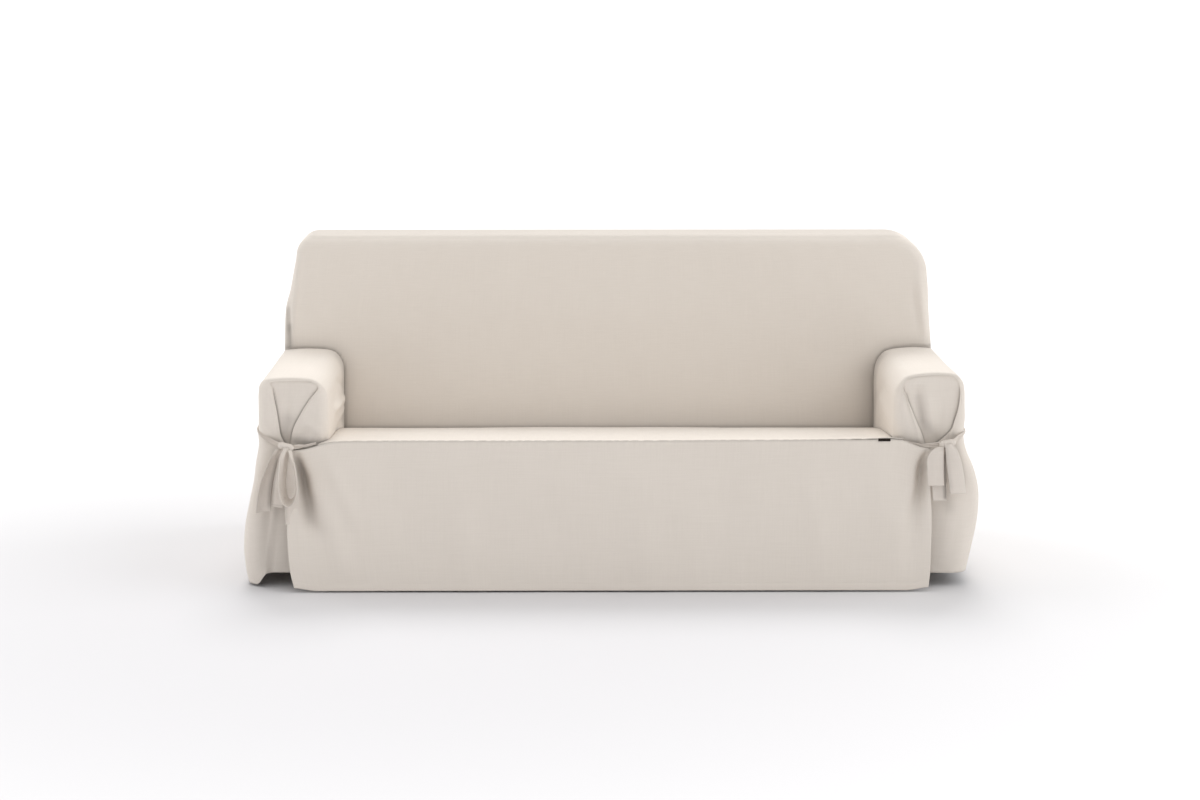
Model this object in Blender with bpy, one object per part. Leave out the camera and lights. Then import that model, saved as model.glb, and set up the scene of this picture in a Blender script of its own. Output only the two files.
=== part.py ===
"""A loose, tied slipcover for a three-seat sofa, hollow and open at the bottom.

Every panel is a sheet of cloth in the shape in which it hangs. Heights are
measured from the floor, depths from the front of the arms towards the back,
and widths from the middle of the seat, all in metres. The finished solids are
moved so that the origin lies under the middle of the top.
"""
import math

import bmesh
import bpy
from mathutils import Vector

# ---------------------------------------------------------------- dimensions
CLOTH = 0.002
RIBBON = 0.002
SEAM = 0.0005
ROLLED_SEAM = 0.0014
LEFT, RIGHT = -1, 1
SIDE_NAMES = {LEFT: "left", RIGHT: "right"}

BACK_TOP = 0.915
BACK_REAR = 0.800
REAR_SPREAD = 0.045
RECLINE = 0.15
CREASE_HEIGHT = 0.362
CREASE_DEPTH = 0.530
ROLL = 0.030
ROLL_CLEAR = 0.013
REAR_ROLL = 0.015
CORNER = {LEFT: 0.058, RIGHT: 0.115}
CORNER_SHARE = 0.88
SIDE_HEM = 0.030
REAR_HEM = 0.030

ARM_TOP = 0.587
ARM_SEAM = 0.564
ARM_INNER = 0.782
ARM_CORNER = 0.030
ARM_REAR_DROP = {LEFT: 0.002, RIGHT: 0.013}

SEAT_FRONT = -0.0175
APRON_DEPTH = -0.020
APRON_FLARE = 0.040
SEAM_HEIGHT = 0.4152
APRON_HEM = 0.001

ORIGIN = Vector((0.0, 0.720, BACK_TOP - CLOTH))

# Half width of the back at each height.
BACK_EDGES = (
    # height, left, right
    (0.000, 0.990, 0.995),
    (0.250, 0.973, 0.976),
    (0.450, 0.964, 0.964),
    (0.580, 0.960, 0.958),
    (0.700, 0.956, 0.950),
    (0.757, 0.942, 0.9485),
    (0.800, 0.934, 0.945),
    (0.857, 0.924, 0.940),
    (0.915, 0.918, 0.936),
)

# One row for each line that runs along an arm from its front edge to the back.
ARM_LINES = {
    LEFT: (
        # wall across, wall height, edge across, edge height, front depth
        (0.782, 0.388, 0.890, 0.388, 0.011),
        (0.782, 0.440, 0.879, 0.441, 0.006),
        (0.782, 0.480, 0.862, 0.478, 0.003),
        (0.782, 0.520, 0.836, 0.521, 0.001),
        (0.785, 0.546, 0.8205, 0.541, 0.000),
        (0.796, 0.568, 0.8060, 0.560, 0.000),
        (0.812, 0.581, 0.8150, 0.574, 0.000),
        (0.838, 0.587, 0.838, 0.579, 0.000),
        (0.888, 0.589, 0.888, 0.580, 0.000),
        (0.938, 0.586, 0.931, 0.578, 0.000),
        (0.957, 0.580, 0.934, 0.571, 0.000),
        (0.970, 0.566, 0.931, 0.556, 0.000),
        (0.974, 0.540, 0.928, 0.532, 0.000),
        (0.975, 0.500, 0.922, 0.497, 0.001),
        (0.976, 0.460, 0.917, 0.458, 0.004),
        (0.978, 0.428, 0.912, 0.425, 0.008),
        (0.977, 0.396, 0.897, 0.396, 0.010),
        (0.984, 0.352, 0.874, 0.352, 0.006),
        (0.991, 0.296, 0.870, 0.300, 0.002),
        (1.006, 0.236, 0.870, 0.242, 0.000),
        (1.020, 0.172, 0.870, 0.180, -0.002),
        (1.025, 0.102, 0.872, 0.113, -0.003),
        (1.021, 0.048, 0.874, 0.070, -0.003),
        (1.014, 0.006, 0.876, 0.038, -0.003),
    ),
    RIGHT: (
        (0.784, 0.392, 0.876, 0.388, 0.011),
        (0.784, 0.440, 0.862, 0.432, 0.006),
        (0.784, 0.480, 0.849, 0.461, 0.003),
        (0.785, 0.515, 0.833, 0.499, 0.001),
        (0.788, 0.545, 0.819, 0.532, 0.000),
        (0.797, 0.570, 0.807, 0.560, 0.000),
        (0.815, 0.589, 0.818, 0.580, 0.000),
        (0.846, 0.598, 0.846, 0.590, 0.000),
        (0.900, 0.602, 0.900, 0.594, 0.000),
        (0.945, 0.599, 0.944, 0.591, 0.000),
        (0.963, 0.590, 0.956, 0.582, 0.000),
        (0.975, 0.573, 0.964, 0.565, 0.000),
        (0.980, 0.548, 0.9665, 0.543, 0.000),
        (0.982, 0.506, 0.963, 0.506, 0.001),
        (0.985, 0.470, 0.9525, 0.468, 0.004),
        (0.983, 0.440, 0.941, 0.437, 0.008),
        (0.984, 0.408, 0.905, 0.402, 0.010),
        (0.993, 0.375, 0.873, 0.372, 0.006),
        (1.013, 0.330, 0.868, 0.330, 0.002),
        (1.026, 0.280, 0.868, 0.282, 0.000),
        (1.029, 0.230, 0.868, 0.235, -0.002),
        (1.025, 0.170, 0.868, 0.172, -0.004),
        (1.013, 0.105, 0.870, 0.106, -0.004),
        (0.998, 0.036, 0.874, 0.038, -0.003),
    ),
}

# The front piece that shows between the folded edges of each arm cover.
ARM_FRONTS = {
    LEFT: (
        # height, inner edge, outer edge, depth
        (0.385, 0.868, 0.925, 0.018),
        (0.410, 0.868, 0.928, 0.018),
        (0.440, 0.868, 0.932, 0.015),
        (0.480, 0.850, 0.942, 0.011),
        (0.520, 0.826, 0.950, 0.008),
        (0.545, 0.808, 0.949, 0.0065),
        (0.565, 0.8045, 0.947, 0.0055),
        (0.575, 0.8155, 0.944, 0.005),
        (0.5815, 0.832, 0.938, 0.005),
    ),
    RIGHT: (
        (0.390, 0.868, 0.945, 0.017),
        (0.420, 0.862, 0.952, 0.015),
        (0.460, 0.846, 0.964, 0.011),
        (0.500, 0.828, 0.969, 0.008),
        (0.540, 0.808, 0.972, 0.0058),
        (0.562, 0.804, 0.969, 0.0053),
        (0.578, 0.8125, 0.961, 0.0045),
        (0.588, 0.8265, 0.953, 0.0045),
        (0.594, 0.848, 0.943, 0.0045),
    ),
}

# The deep soft folds that run down the apron from the knots.
APRON_FOLDS = (
    (
        # height, across, half width, depth
        (0.385, -0.876, 0.012, 0.000),
        (0.351, -0.861, 0.012, 0.026),
        (0.321, -0.852, 0.014, 0.042),
        (0.283, -0.845, 0.015, 0.041),
        (0.243, -0.837, 0.018, 0.030),
        (0.196, -0.829, 0.021, 0.017),
        (0.150, -0.814, 0.030, 0.004),
        (0.090, -0.800, 0.034, 0.000),
    ),
    (
        (0.385, 0.880, 0.012, 0.000),
        (0.355, 0.863, 0.012, 0.022),
        (0.320, 0.859, 0.013, 0.034),
        (0.280, 0.855, 0.015, 0.029),
        (0.234, 0.846, 0.019, 0.017),
        (0.165, 0.838, 0.026, 0.006),
        (0.100, 0.832, 0.030, 0.003),
        (0.040, 0.832, 0.030, 0.000),
    ),
)

# Half width of the apron and the drop of its top edge towards the knots.
APRON_EDGES = (
    # height, left, right
    (0.000, 0.872, 0.878),
    (0.050, 0.885, 0.884),
    (0.110, 0.892, 0.886),
    (0.200, 0.895, 0.888),
    (0.300, 0.894, 0.884),
    (0.350, 0.891, 0.885),
    (0.389, 0.879, 0.892),
)
APRON_TOP = {
    LEFT: (
        # half width, height
        (0.000, 0.4152),
        (0.700, 0.4152),
        (0.776, 0.4115),
        (0.836, 0.3960),
        (0.880, 0.3890),
    ),
    RIGHT: (
        (0.000, 0.4152),
        (0.700, 0.4180),
        (0.800, 0.4180),
        (0.853, 0.3997),
        (0.894, 0.3905),
    ),
}

SEAT_PROFILE = (
    # depth, height
    (-0.0175, 0.4150),
    (0.000, 0.4145),
    (0.100, 0.408),
    (0.250, 0.397),
    (0.400, 0.380),
    (0.540, 0.361),
)

# Ribbons: the middle line of each with its width and how it is turned and tilted.
RIBBONS = {
    "tie_left_front_loop": (
        # across, depth, height, width, turn and tilt in degrees
        (-0.8925, -0.0446, 0.4010, 0.016, 30, 0),
        (-0.8975, -0.0560, 0.3800, 0.030, 52, 0),
        (-0.9001, -0.0620, 0.3560, 0.040, 62, 0),
        (-0.9028, -0.0670, 0.3223, 0.042, 66, 0),
        (-0.9030, -0.0690, 0.2863, 0.042, 68, 6),
        (-0.8970, -0.0700, 0.2627, 0.042, 74, 16),
        (-0.8849, -0.0700, 0.2523, 0.042, 84, 20),
        (-0.8715, -0.0700, 0.2612, 0.042, 94, 14),
        (-0.8644, -0.0700, 0.2865, 0.042, 100, 5),
        (-0.8652, -0.0680, 0.3169, 0.042, 100, 0),
        (-0.8710, -0.0620, 0.3605, 0.038, 98, 0),
        (-0.8830, -0.0461, 0.3960, 0.014, 60, 0),
    ),
    "tie_left_outer_tail": (
        (-0.9155, -0.0351, 0.3966, 0.014, 34, 0),
        (-0.9265, -0.0372, 0.3720, 0.028, 40, 0),
        (-0.9394, -0.0372, 0.3350, 0.038, 42, 0),
        (-0.9502, -0.0372, 0.2990, 0.044, 40, 0),
        (-0.9564, -0.0362, 0.2650, 0.046, 38, 0),
        (-0.9600, -0.0352, 0.2200, 0.046, 32, 0),
    ),
    "tie_left_middle_tail": (
        (-0.9069, -0.0267, 0.3934, 0.012, -20, 0),
        (-0.9123, -0.0218, 0.3583, 0.022, -28, 0),
        (-0.9180, -0.0198, 0.3073, 0.032, -32, 0),
        (-0.9208, -0.0208, 0.2680, 0.038, -32, 0),
        (-0.9227, -0.0218, 0.2315, 0.042, -30, 0),
    ),
    "tie_left_long_tail": (
        (-0.8888, -0.0325, 0.3903, 0.012, 10, 0),
        (-0.8843, -0.0338, 0.3606, 0.026, 14, 0),
        (-0.8817, -0.0378, 0.3165, 0.036, 16, 0),
        (-0.8802, -0.0418, 0.2666, 0.040, 16, 0),
        (-0.8798, -0.0438, 0.2276, 0.041, 14, 0),
        (-0.8785, -0.0458, 0.1880, 0.040, 12, 0),
    ),
    "tie_right_inner_tail": (
        (0.9080, -0.0471, 0.4030, 0.020, 0, 0),
        (0.8990, -0.0521, 0.3905, 0.036, 2, 0),
        (0.8940, -0.0520, 0.3688, 0.046, 3, 0),
        (0.8950, -0.0500, 0.3389, 0.046, 4, 0),
        (0.8974, -0.0481, 0.2945, 0.046, 4, 0),
    ),
    "tie_right_outer_tail": (
        (0.9308, -0.0492, 0.4112, 0.024, 6, 0),
        (0.9370, -0.0525, 0.3955, 0.032, 8, 0),
        (0.9428, -0.0529, 0.3731, 0.040, 8, 0),
        (0.9500, -0.0500, 0.3333, 0.045, 10, 0),
        (0.9594, -0.0450, 0.2712, 0.046, 14, 0),
    ),
    "tie_right_back_tail": (
        (0.9150, -0.0360, 0.3980, 0.016, -6, 0),
        (0.9085, -0.0410, 0.3653, 0.032, -8, 0),
        (0.9067, -0.0400, 0.3088, 0.038, -6, 0),
        (0.9085, -0.0380, 0.2774, 0.038, -4, 0),
        (0.9104, -0.0370, 0.2500, 0.037, -4, 0),
    ),
}

# Drawn, gathered lengths of tie that run to the knots.
BANDS = {
    "tie_left_outer_band": (
        # across, depth, height
        (-0.9783, 0.1200, 0.4440),
        (-0.9793, 0.0700, 0.4430),
        (-0.9797, 0.0380, 0.4390),
        (-0.9754, 0.0220, 0.4335),
        (-0.9638, 0.0102, 0.4255),
        (-0.9475, 0.0040, 0.4180),
        (-0.9330, -0.0040, 0.4110),
        (-0.9140, -0.0180, 0.4050),
    ),
    "tie_left_inner_band": (
        (-0.8130, -0.0105, 0.4085),
        (-0.8360, -0.0120, 0.4030),
        (-0.8580, -0.0152, 0.4005),
        (-0.8745, -0.0227, 0.4005),
    ),
    "tie_right_outer_band": (
        (0.9848, 0.1200, 0.4380),
        (0.9857, 0.0700, 0.4370),
        (0.9859, 0.0380, 0.4340),
        (0.9820, 0.0218, 0.4300),
        (0.9720, 0.0085, 0.4250),
        (0.9590, -0.0050, 0.4190),
        (0.9467, -0.0233, 0.4140),
    ),
    "tie_right_inner_band": (
        (0.8130, -0.0115, 0.4120),
        (0.8450, -0.0136, 0.4050),
        (0.8720, -0.0172, 0.4010),
        (0.9086, -0.0244, 0.4060),
    ),
}
BAND_WIDTH = 0.012

KNOTS = {
    # name: across, depth, height, length, width, rise, tilt in degrees
    "tie_left_knot": (-0.8950, -0.0275, 0.4025, 0.044, 0.030, 0.024, 14),
    "tie_right_knot": (0.9290, -0.034, 0.410, 0.046, 0.032, 0.025, -10),
}

LABEL_SIZE = Vector((0.035, 0.001, 0.008))
LABEL_MIDDLE = Vector((0.7585, -0.0212, 0.4150))


# ------------------------------------------------------------------- helpers
def clear_scene():
    for obj in list(bpy.data.objects):
        bpy.data.objects.remove(obj, do_unlink=True)


def make_material(name, colour, roughness):
    material = bpy.data.materials.new(name)
    material.use_nodes = True
    shader = material.node_tree.nodes["Principled BSDF"]
    shader.inputs["Base Color"].default_value = (*colour, 1.0)
    shader.inputs["Roughness"].default_value = roughness
    shader.inputs["Metallic"].default_value = 0.0
    return material


def smooth_step(low, high, value):
    share = min(1.0, max(0.0, (value - low) / (high - low)))
    return share * share * (3.0 - 2.0 * share)


def read_table(rows, at):
    """The other columns of a table where its rising first column is `at`."""
    at = min(rows[-1][0], max(rows[0][0], at))
    for low, high in zip(rows, rows[1:]):
        if at <= high[0]:
            break
    share = (at - low[0]) / (high[0] - low[0])
    return [a + share * (b - a) for a, b in zip(low[1:], high[1:])]


def curve_point(rows, at):
    """A point of the smooth curve through the rows, from 0 at the first to 1."""
    place = at * (len(rows) - 1)
    index = min(int(place), len(rows) - 2)
    share = place - index
    before = rows[max(index - 1, 0)]
    after = rows[min(index + 2, len(rows) - 1)]
    point = []
    for p0, p1, p2, p3 in zip(before, rows[index], rows[index + 1], after):
        bend = 2 * p0 - 5 * p1 + 4 * p2 - p3
        twist = 3 * (p1 - p2) + p3 - p0
        point.append(p1 + 0.5 * share * (p2 - p0 + share * (bend + share * twist)))
    return point


def pick_stop(stops, share):
    """Reads a list of stops with even steps of share, straight between them."""
    place = share * (len(stops) - 1)
    index = min(int(place + 1e-6), len(stops) - 2)
    return stops[index] + (place - index) * (stops[index + 1] - stops[index])


def finish_object(name, mesh, material):
    obj = bpy.data.objects.new(name, mesh)
    bpy.context.collection.objects.link(obj)
    mesh.materials.append(material)
    mesh.shade_smooth()
    mesh.set_sharp_from_angle(angle=math.radians(50))
    return obj


def make_sheet(name, columns, rows, shape, material, thickness=CLOTH, offset=-1.0):
    """A grid of cloth placed by shape(u, v), thickened away from its face."""
    mesh = bpy.data.meshes.new(name)
    grid = bmesh.new()
    bmesh.ops.create_grid(grid, x_segments=columns, y_segments=rows, size=0.5)
    for vert in grid.verts:
        vert.co = Vector(shape(vert.co.x + 0.5, vert.co.y + 0.5)) - ORIGIN
    grid.to_mesh(mesh)
    grid.free()
    obj = finish_object(name, mesh, material)
    solidify = obj.modifiers.new("cloth thickness", "SOLIDIFY")
    solidify.thickness = thickness
    solidify.offset = offset
    solidify.use_even_offset = False
    solidify.use_quality_normals = True
    return obj


# ------------------------------------------------------- outline of the back
def side_edge(side, height):
    """Half width of the back at a height, with its rounded upper corner."""
    column = 0 if side == LEFT else 1
    start = BACK_TOP - CORNER[side]
    edge = read_table(BACK_EDGES, min(height, start))[column]
    if height <= start:
        return edge
    rise = min(height - start, CORNER[side])
    return edge - CORNER[side] + math.sqrt(CORNER[side] ** 2 - rise ** 2)


def edge_distance(across, height):
    """How far a point of the back lies inside its outline."""
    side = LEFT if across < 0 else RIGHT
    radius = CORNER[side]
    start = BACK_TOP - radius
    edge = side_edge(side, min(height, start))
    past_side = abs(across) - (edge - radius)
    past_top = height - start
    if past_side > 0 and past_top > 0:
        return radius - math.hypot(past_side, past_top)
    return min(edge - abs(across), BACK_TOP - height)


def roll_depth(distance, radius):
    """How far the cloth has turned round the edge at a distance from it."""
    rest = radius - min(radius, max(0.0, distance))
    return radius - math.sqrt(max(0.0, radius ** 2 - rest ** 2))


def face_depth(height):
    return CREASE_DEPTH + RECLINE * (height - CREASE_HEIGHT)


def back_depth(across, height, clear=0.0):
    """Depth of the inside back's surface, or of the seam at its sides."""
    distance = edge_distance(across, height) + clear
    level = height if distance > ROLL else max(height, ARM_TOP)
    return face_depth(level) + roll_depth(distance, ROLL)


def rear_depth(height):
    return BACK_REAR + REAR_SPREAD * (BACK_TOP - height)


def outline_side(side, foot, share):
    """Side of the outline from a height up to the middle of the corner."""
    radius = CORNER[side]
    start = BACK_TOP - radius
    if share < CORNER_SHARE:
        height = foot + (start - foot) * share / CORNER_SHARE
        return side * side_edge(side, height), height
    angle = math.radians(45) * (share - CORNER_SHARE) / (1 - CORNER_SHARE)
    middle = side_edge(side, start) - radius
    return side * (middle + radius * math.cos(angle)), start + radius * math.sin(angle)


def outline_top(side, share):
    """Top of the outline from its middle to the middle of the corner."""
    radius = CORNER[side]
    start = BACK_TOP - radius
    middle = side_edge(side, start) - radius
    if share < CORNER_SHARE:
        return side * middle * share / CORNER_SHARE, BACK_TOP
    angle = math.radians(45) * (share - CORNER_SHARE) / (1 - CORNER_SHARE)
    return side * (middle + radius * math.sin(angle)), start + radius * math.cos(angle)


def back_grid_point(share, rise, bottom, foot):
    """Spreads a grid between the bottom curve and the outline of the back.

    share runs from -1 at the left to 1 at the right, rise from 0 to 1.
    """
    side = LEFT if share < 0 else RIGHT
    low = bottom(share)
    top = outline_top(side, abs(share))
    corner = outline_side(side, foot, 0.0)
    head = outline_side(side, foot, 1.0)
    edge = outline_side(side, foot, rise)
    point = []
    for low_part, top_part, edge_part, corner_part, head_part in zip(low, top, edge, corner, head):
        straight = (1 - rise) * low_part + rise * top_part
        pull = edge_part - ((1 - rise) * corner_part + rise * head_part)
        point.append(straight + abs(share) ** 3 * pull)
    return point


# ------------------------------------------------------------------ the back
INSIDE_STOPS = (0, 0.16, 0.32, 0.48, 0.62, 0.74, 0.819, 0.846, 0.89, 0.935, 0.965, 0.985, 1)
INSIDE_RISE = (0, 0.13, 0.27, 0.41, 0.55, 0.69, 0.82, 0.93, 0.975, 0.993, 1)


UNDER_ARM = (
    # across, height of the edge that goes over the arm
    (0.812, 0.566),
    (0.850, 0.576),
    (0.930, 0.576),
    (0.960, ARM_SEAM),
)


def inside_back_bottom(share):
    """Along the crease of the seat, then up and over both arms."""
    side = LEFT if share < 0 else RIGHT
    across = abs(share) * side_edge(side, ARM_TOP)
    if abs(share) < 0.83:
        return side * across, CREASE_HEIGHT - 0.008
    return side * across, read_table(UNDER_ARM, across)[0]


def inside_back_shape(u, v):
    share = math.copysign(pick_stop(INSIDE_STOPS, abs(2 * u - 1)), 2 * u - 1)
    rise = pick_stop(INSIDE_RISE, v)
    across, height = back_grid_point(share, rise, inside_back_bottom, ARM_SEAM)
    return across, back_depth(across, height), height


BAND_SIDE, BAND_CORNER, BAND_TOP = 10, 5, 9
BAND_HALF = BAND_SIDE + BAND_CORNER + BAND_TOP


def band_outline(side, step):
    """Outline of the band from the hem at step 0 to the middle of the top."""
    radius = CORNER[side]
    start = BACK_TOP - radius
    middle = side_edge(side, start) - radius
    if step <= BAND_SIDE:
        height = SIDE_HEM + (start - SIDE_HEM) * step / BAND_SIDE
        return side * side_edge(side, height), height
    if step <= BAND_SIDE + BAND_CORNER:
        angle = math.radians(90) * (step - BAND_SIDE) / BAND_CORNER
        return side * (middle + radius * math.cos(angle)), start + radius * math.sin(angle)
    share = (step - BAND_SIDE - BAND_CORNER) / BAND_TOP
    return side * middle * (1 - share), BACK_TOP


def drape_wave(place, height, pitch, reach):
    """Soft hanging waves that grow from the arm's height down to the hem."""
    growth = smooth_step(0.45, 0.0, height)
    return reach * growth * math.sin(2 * math.pi * place / pitch)


def back_band_shape(u, v):
    side = LEFT if u < 0.5 else RIGHT
    step = (1 - abs(2 * u - 1)) * BAND_HALF
    across, height = band_outline(side, step)
    front = face_depth(max(height, ARM_TOP)) + ROLL + ROLLED_SEAM
    rear = rear_depth(height) - REAR_ROLL - ROLLED_SEAM
    depth = front + v * (rear - front)
    wave = drape_wave(v, height, 1.0, 0.006)
    return across + side * wave, depth, height


REAR_STOPS = (0, 0.15, 0.3, 0.45, 0.6, 0.75, 0.88, 0.95, 0.985, 0.996, 1)
REAR_RISE = (0, 0.1, 0.25, 0.4, 0.55, 0.7, 0.85, 0.94, 0.983, 0.9955, 1)


def rear_bottom(share):
    side = LEFT if share < 0 else RIGHT
    return share * side_edge(side, REAR_HEM), REAR_HEM


def rear_panel_shape(u, v):
    share = math.copysign(pick_stop(REAR_STOPS, abs(1 - 2 * u)), 1 - 2 * u)
    rise = pick_stop(REAR_RISE, v)
    across, height = back_grid_point(share, rise, rear_bottom, REAR_HEM)
    distance = edge_distance(across, height)
    inner = smooth_step(0.0, 0.10, distance)
    wave = inner * drape_wave(across + 0.07, height, 0.46, 0.007)
    return across, rear_depth(height) - roll_depth(distance, REAR_ROLL) + wave, height


# ------------------------------------------------------------------ the seat
SEAT_DEPTHS = (SEAT_FRONT, -0.008, 0.001, 0.006, 0.014, 0.024, 0.034, 0.15, 0.28, 0.41, 1.0)


def seat_height(depth, across):
    height = read_table(SEAT_PROFILE, depth)[0]
    lift = 0.003 * smooth_step(0.5, 0.8, across) * smooth_step(0.25, 0.0, depth)
    return height + lift


def seat_half_width(depth):
    """Follows the inner walls of the arms and the turn of their front corners."""
    turn = min(ARM_CORNER, max(0.0, ARM_CORNER - depth))
    corner = ARM_CORNER - math.sqrt(ARM_CORNER ** 2 - turn ** 2)
    clear = 0.0015 if turn > 0 else SEAM
    return ARM_INNER - clear + min(corner, 0.028)


def seat_shape(u, v):
    depth = pick_stop(SEAT_DEPTHS, v)
    back = face_depth(CREASE_HEIGHT) - ROLLED_SEAM
    depth = min(depth, back)
    across = (2 * u - 1) * seat_half_width(depth)
    return across, depth, seat_height(depth, across)


# ----------------------------------------------------------------- the apron
APRON_STOPS = (0, 0.22, 0.44, 0.64, 0.78, 0.85, 0.89, 0.915, 0.935, 0.955, 0.975, 1)


def apron_top(across):
    side = LEFT if across < 0 else RIGHT
    return read_table(APRON_TOP[side], abs(across))[0]


def apron_edge(side, height):
    column = 0 if side == LEFT else 1
    return read_table(APRON_EDGES, height)[column]


def fold_depth(rows, across, height):
    if not rows[-1][0] < height < rows[0][0]:
        return 0.0
    middle, half_width, depth = read_table(rows[::-1], height)
    return depth * math.exp(-((across - middle) / half_width) ** 2)


def apron_depth(across, height):
    fall = min(1.0, max(0.0, 1 - height / SEAM_HEIGHT))
    depth = APRON_DEPTH - APRON_FLARE * fall ** 1.3
    depth -= 0.004 * math.sin(math.pi * min(1.0, fall)) * math.cos(7 * across)
    return depth + sum(fold_depth(rows, across, height) for rows in APRON_FOLDS)


def apron_shape(u, v):
    share = math.copysign(pick_stop(APRON_STOPS, abs(2 * u - 1)), 2 * u - 1)
    side = LEFT if share < 0 else RIGHT
    top_across = share * apron_edge(side, 1.0)
    hem = APRON_HEM + 0.008 * smooth_step(0.93, 1.0, abs(share))
    height = hem + v * (apron_top(top_across) - hem)
    across = share * apron_edge(side, height)
    return across, apron_depth(across, height), height


# ------------------------------------------------------------------ the arms
def drape_recess(side, across, height):
    """The front of the left drape hangs back behind a fold that leans outwards."""
    if side == RIGHT:
        return 0.0
    fold = 0.970 - 0.14 * height
    return 0.014 * smooth_step(0.0, 0.022, fold - across) * smooth_step(0.40, 0.28, height)


def hem_lift(side, share, height):
    """On the left the hem steps up at that fold, on the right it is straight."""
    if side == RIGHT:
        return share
    return share + (smooth_step(0.20, 0.42, share) - share) * smooth_step(0.15, 0.05, height)


def arm_point(side, line, share):
    """A point of the arm cover.

    line runs from the seat over the arm down to the outer hem, share from the
    front edge at 0 round the front corner to the seam with the back at 1.
    """
    wall_x, wall_z, edge_x, edge_z, front = curve_point(ARM_LINES[side], line)
    flap = Vector((edge_x - wall_x, edge_z - wall_z))
    reach = flap.length
    flap.normalize()
    radius = min(ARM_CORNER + 0.025 * smooth_step(0.40, 0.15, wall_z), 0.9 * reach)
    if share <= 0.2:
        away = reach + (radius - reach) * share / 0.2
        across = wall_x + flap.x * away
        height = wall_z + flap.y * reach * hem_lift(side, away / reach, wall_z)
        return side * across, front + drape_recess(side, across, height), height
    if share <= 0.5:
        angle = math.radians(90) * (share - 0.2) / 0.3
        away = radius * (1 - math.sin(angle))
        height = wall_z + flap.y * reach * hem_lift(side, away / reach, wall_z)
        return side * (wall_x + flap.x * away), front + radius * (1 - math.cos(angle)), height
    along = (share - 0.5) / 0.5
    rear_z = wall_z - ARM_REAR_DROP[side] * smooth_step(0.45, 0.58, wall_z)
    if wall_x < 0.8 and wall_z < 0.48:
        rear_z -= 0.052 * smooth_step(0.48, 0.405, wall_z)
    if wall_x > 0.95 and wall_z < 0.10:
        rear_z += along * (SIDE_HEM - wall_z) * smooth_step(0.10, 0.016, wall_z)
    rear_x = min(wall_x, side_edge(side, rear_z)) if wall_x > 0.9 else wall_x
    rear_x = side_edge(side, rear_z) if wall_z < 0.55 and wall_x > 0.9 else rear_x
    clear = ROLL_CLEAR if wall_x > 0.9 and wall_z > 0.55 else 0.0
    rear_y = back_depth(side * rear_x, rear_z, clear) - ROLLED_SEAM
    start = front + radius
    ease = along * along * (3 - 2 * along)
    across = wall_x + (rear_x - wall_x) * ease
    depth = start + (rear_y - start) * along
    if wall_x > 0.95:
        across += math.sin(math.pi * along) * drape_wave(depth + 0.04, wall_z, 0.21, 0.010)
    return side * across, depth, wall_z + (rear_z - wall_z) * along


def arm_cover_shape(side):
    """The cover's grid runs the other way on the left, so that it faces out."""
    if side == RIGHT:
        return lambda u, v: arm_point(side, u, v)
    return lambda u, v: arm_point(side, 1 - u, v)


def arm_front_shape(side):
    def shape(u, v):
        height, inner, outer, depth = curve_point(ARM_FRONTS[side], v)
        share = u if side == RIGHT else 1 - u
        hollow = 0.004 * math.sin(math.pi * share) * smooth_step(0.57, 0.50, height)
        return side * (inner + share * (outer - inner)), depth + hollow, height
    return shape


# ------------------------------------------------------------------ the ties
def ribbon_shape(rows):
    def shape(u, v):
        across, depth, height, width, turn, tilt = curve_point(rows, u)
        angle = math.radians(turn)
        off = (v - 0.5) * width * math.cos(math.radians(tilt))
        rise = (v - 0.5) * width * math.sin(math.radians(tilt))
        return across + off * math.cos(angle), depth + off * math.sin(angle), height + rise
    return shape


def band_shape(rows):
    def shape(u, v):
        across, depth, height = curve_point(rows, u)
        return across, depth, height + (v - 0.5) * BAND_WIDTH
    return shape


def make_knot(name, across, depth, height, length, width, rise, tilt, material):
    """A short bound lump, fuller at its ends than a ball."""
    mesh = bpy.data.meshes.new(name)
    knot = bmesh.new()
    bmesh.ops.create_uvsphere(knot, u_segments=12, v_segments=8, radius=0.5)
    angle = math.radians(tilt)
    for vert in knot.verts:
        x, y, z = (math.copysign(abs(part * 2) ** 0.8 / 2, part) for part in vert.co)
        waist = 1 - 0.18 * math.cos(math.pi * x)
        x, y, z = x * length, y * width * waist, z * rise * waist
        turned_x = x * math.cos(angle) + z * math.sin(angle)
        turned_z = z * math.cos(angle) - x * math.sin(angle)
        vert.co = Vector((across + turned_x, depth + y, height + turned_z)) - ORIGIN
    knot.to_mesh(mesh)
    knot.free()
    return finish_object(name, mesh, material)


def make_label(material):
    mesh = bpy.data.meshes.new("label")
    tag = bmesh.new()
    bmesh.ops.create_cube(tag, size=1.0)
    for vert in tag.verts:
        vert.co = vert.co * LABEL_SIZE + LABEL_MIDDLE - ORIGIN
    tag.to_mesh(mesh)
    tag.free()
    return finish_object("label", mesh, material)


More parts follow.
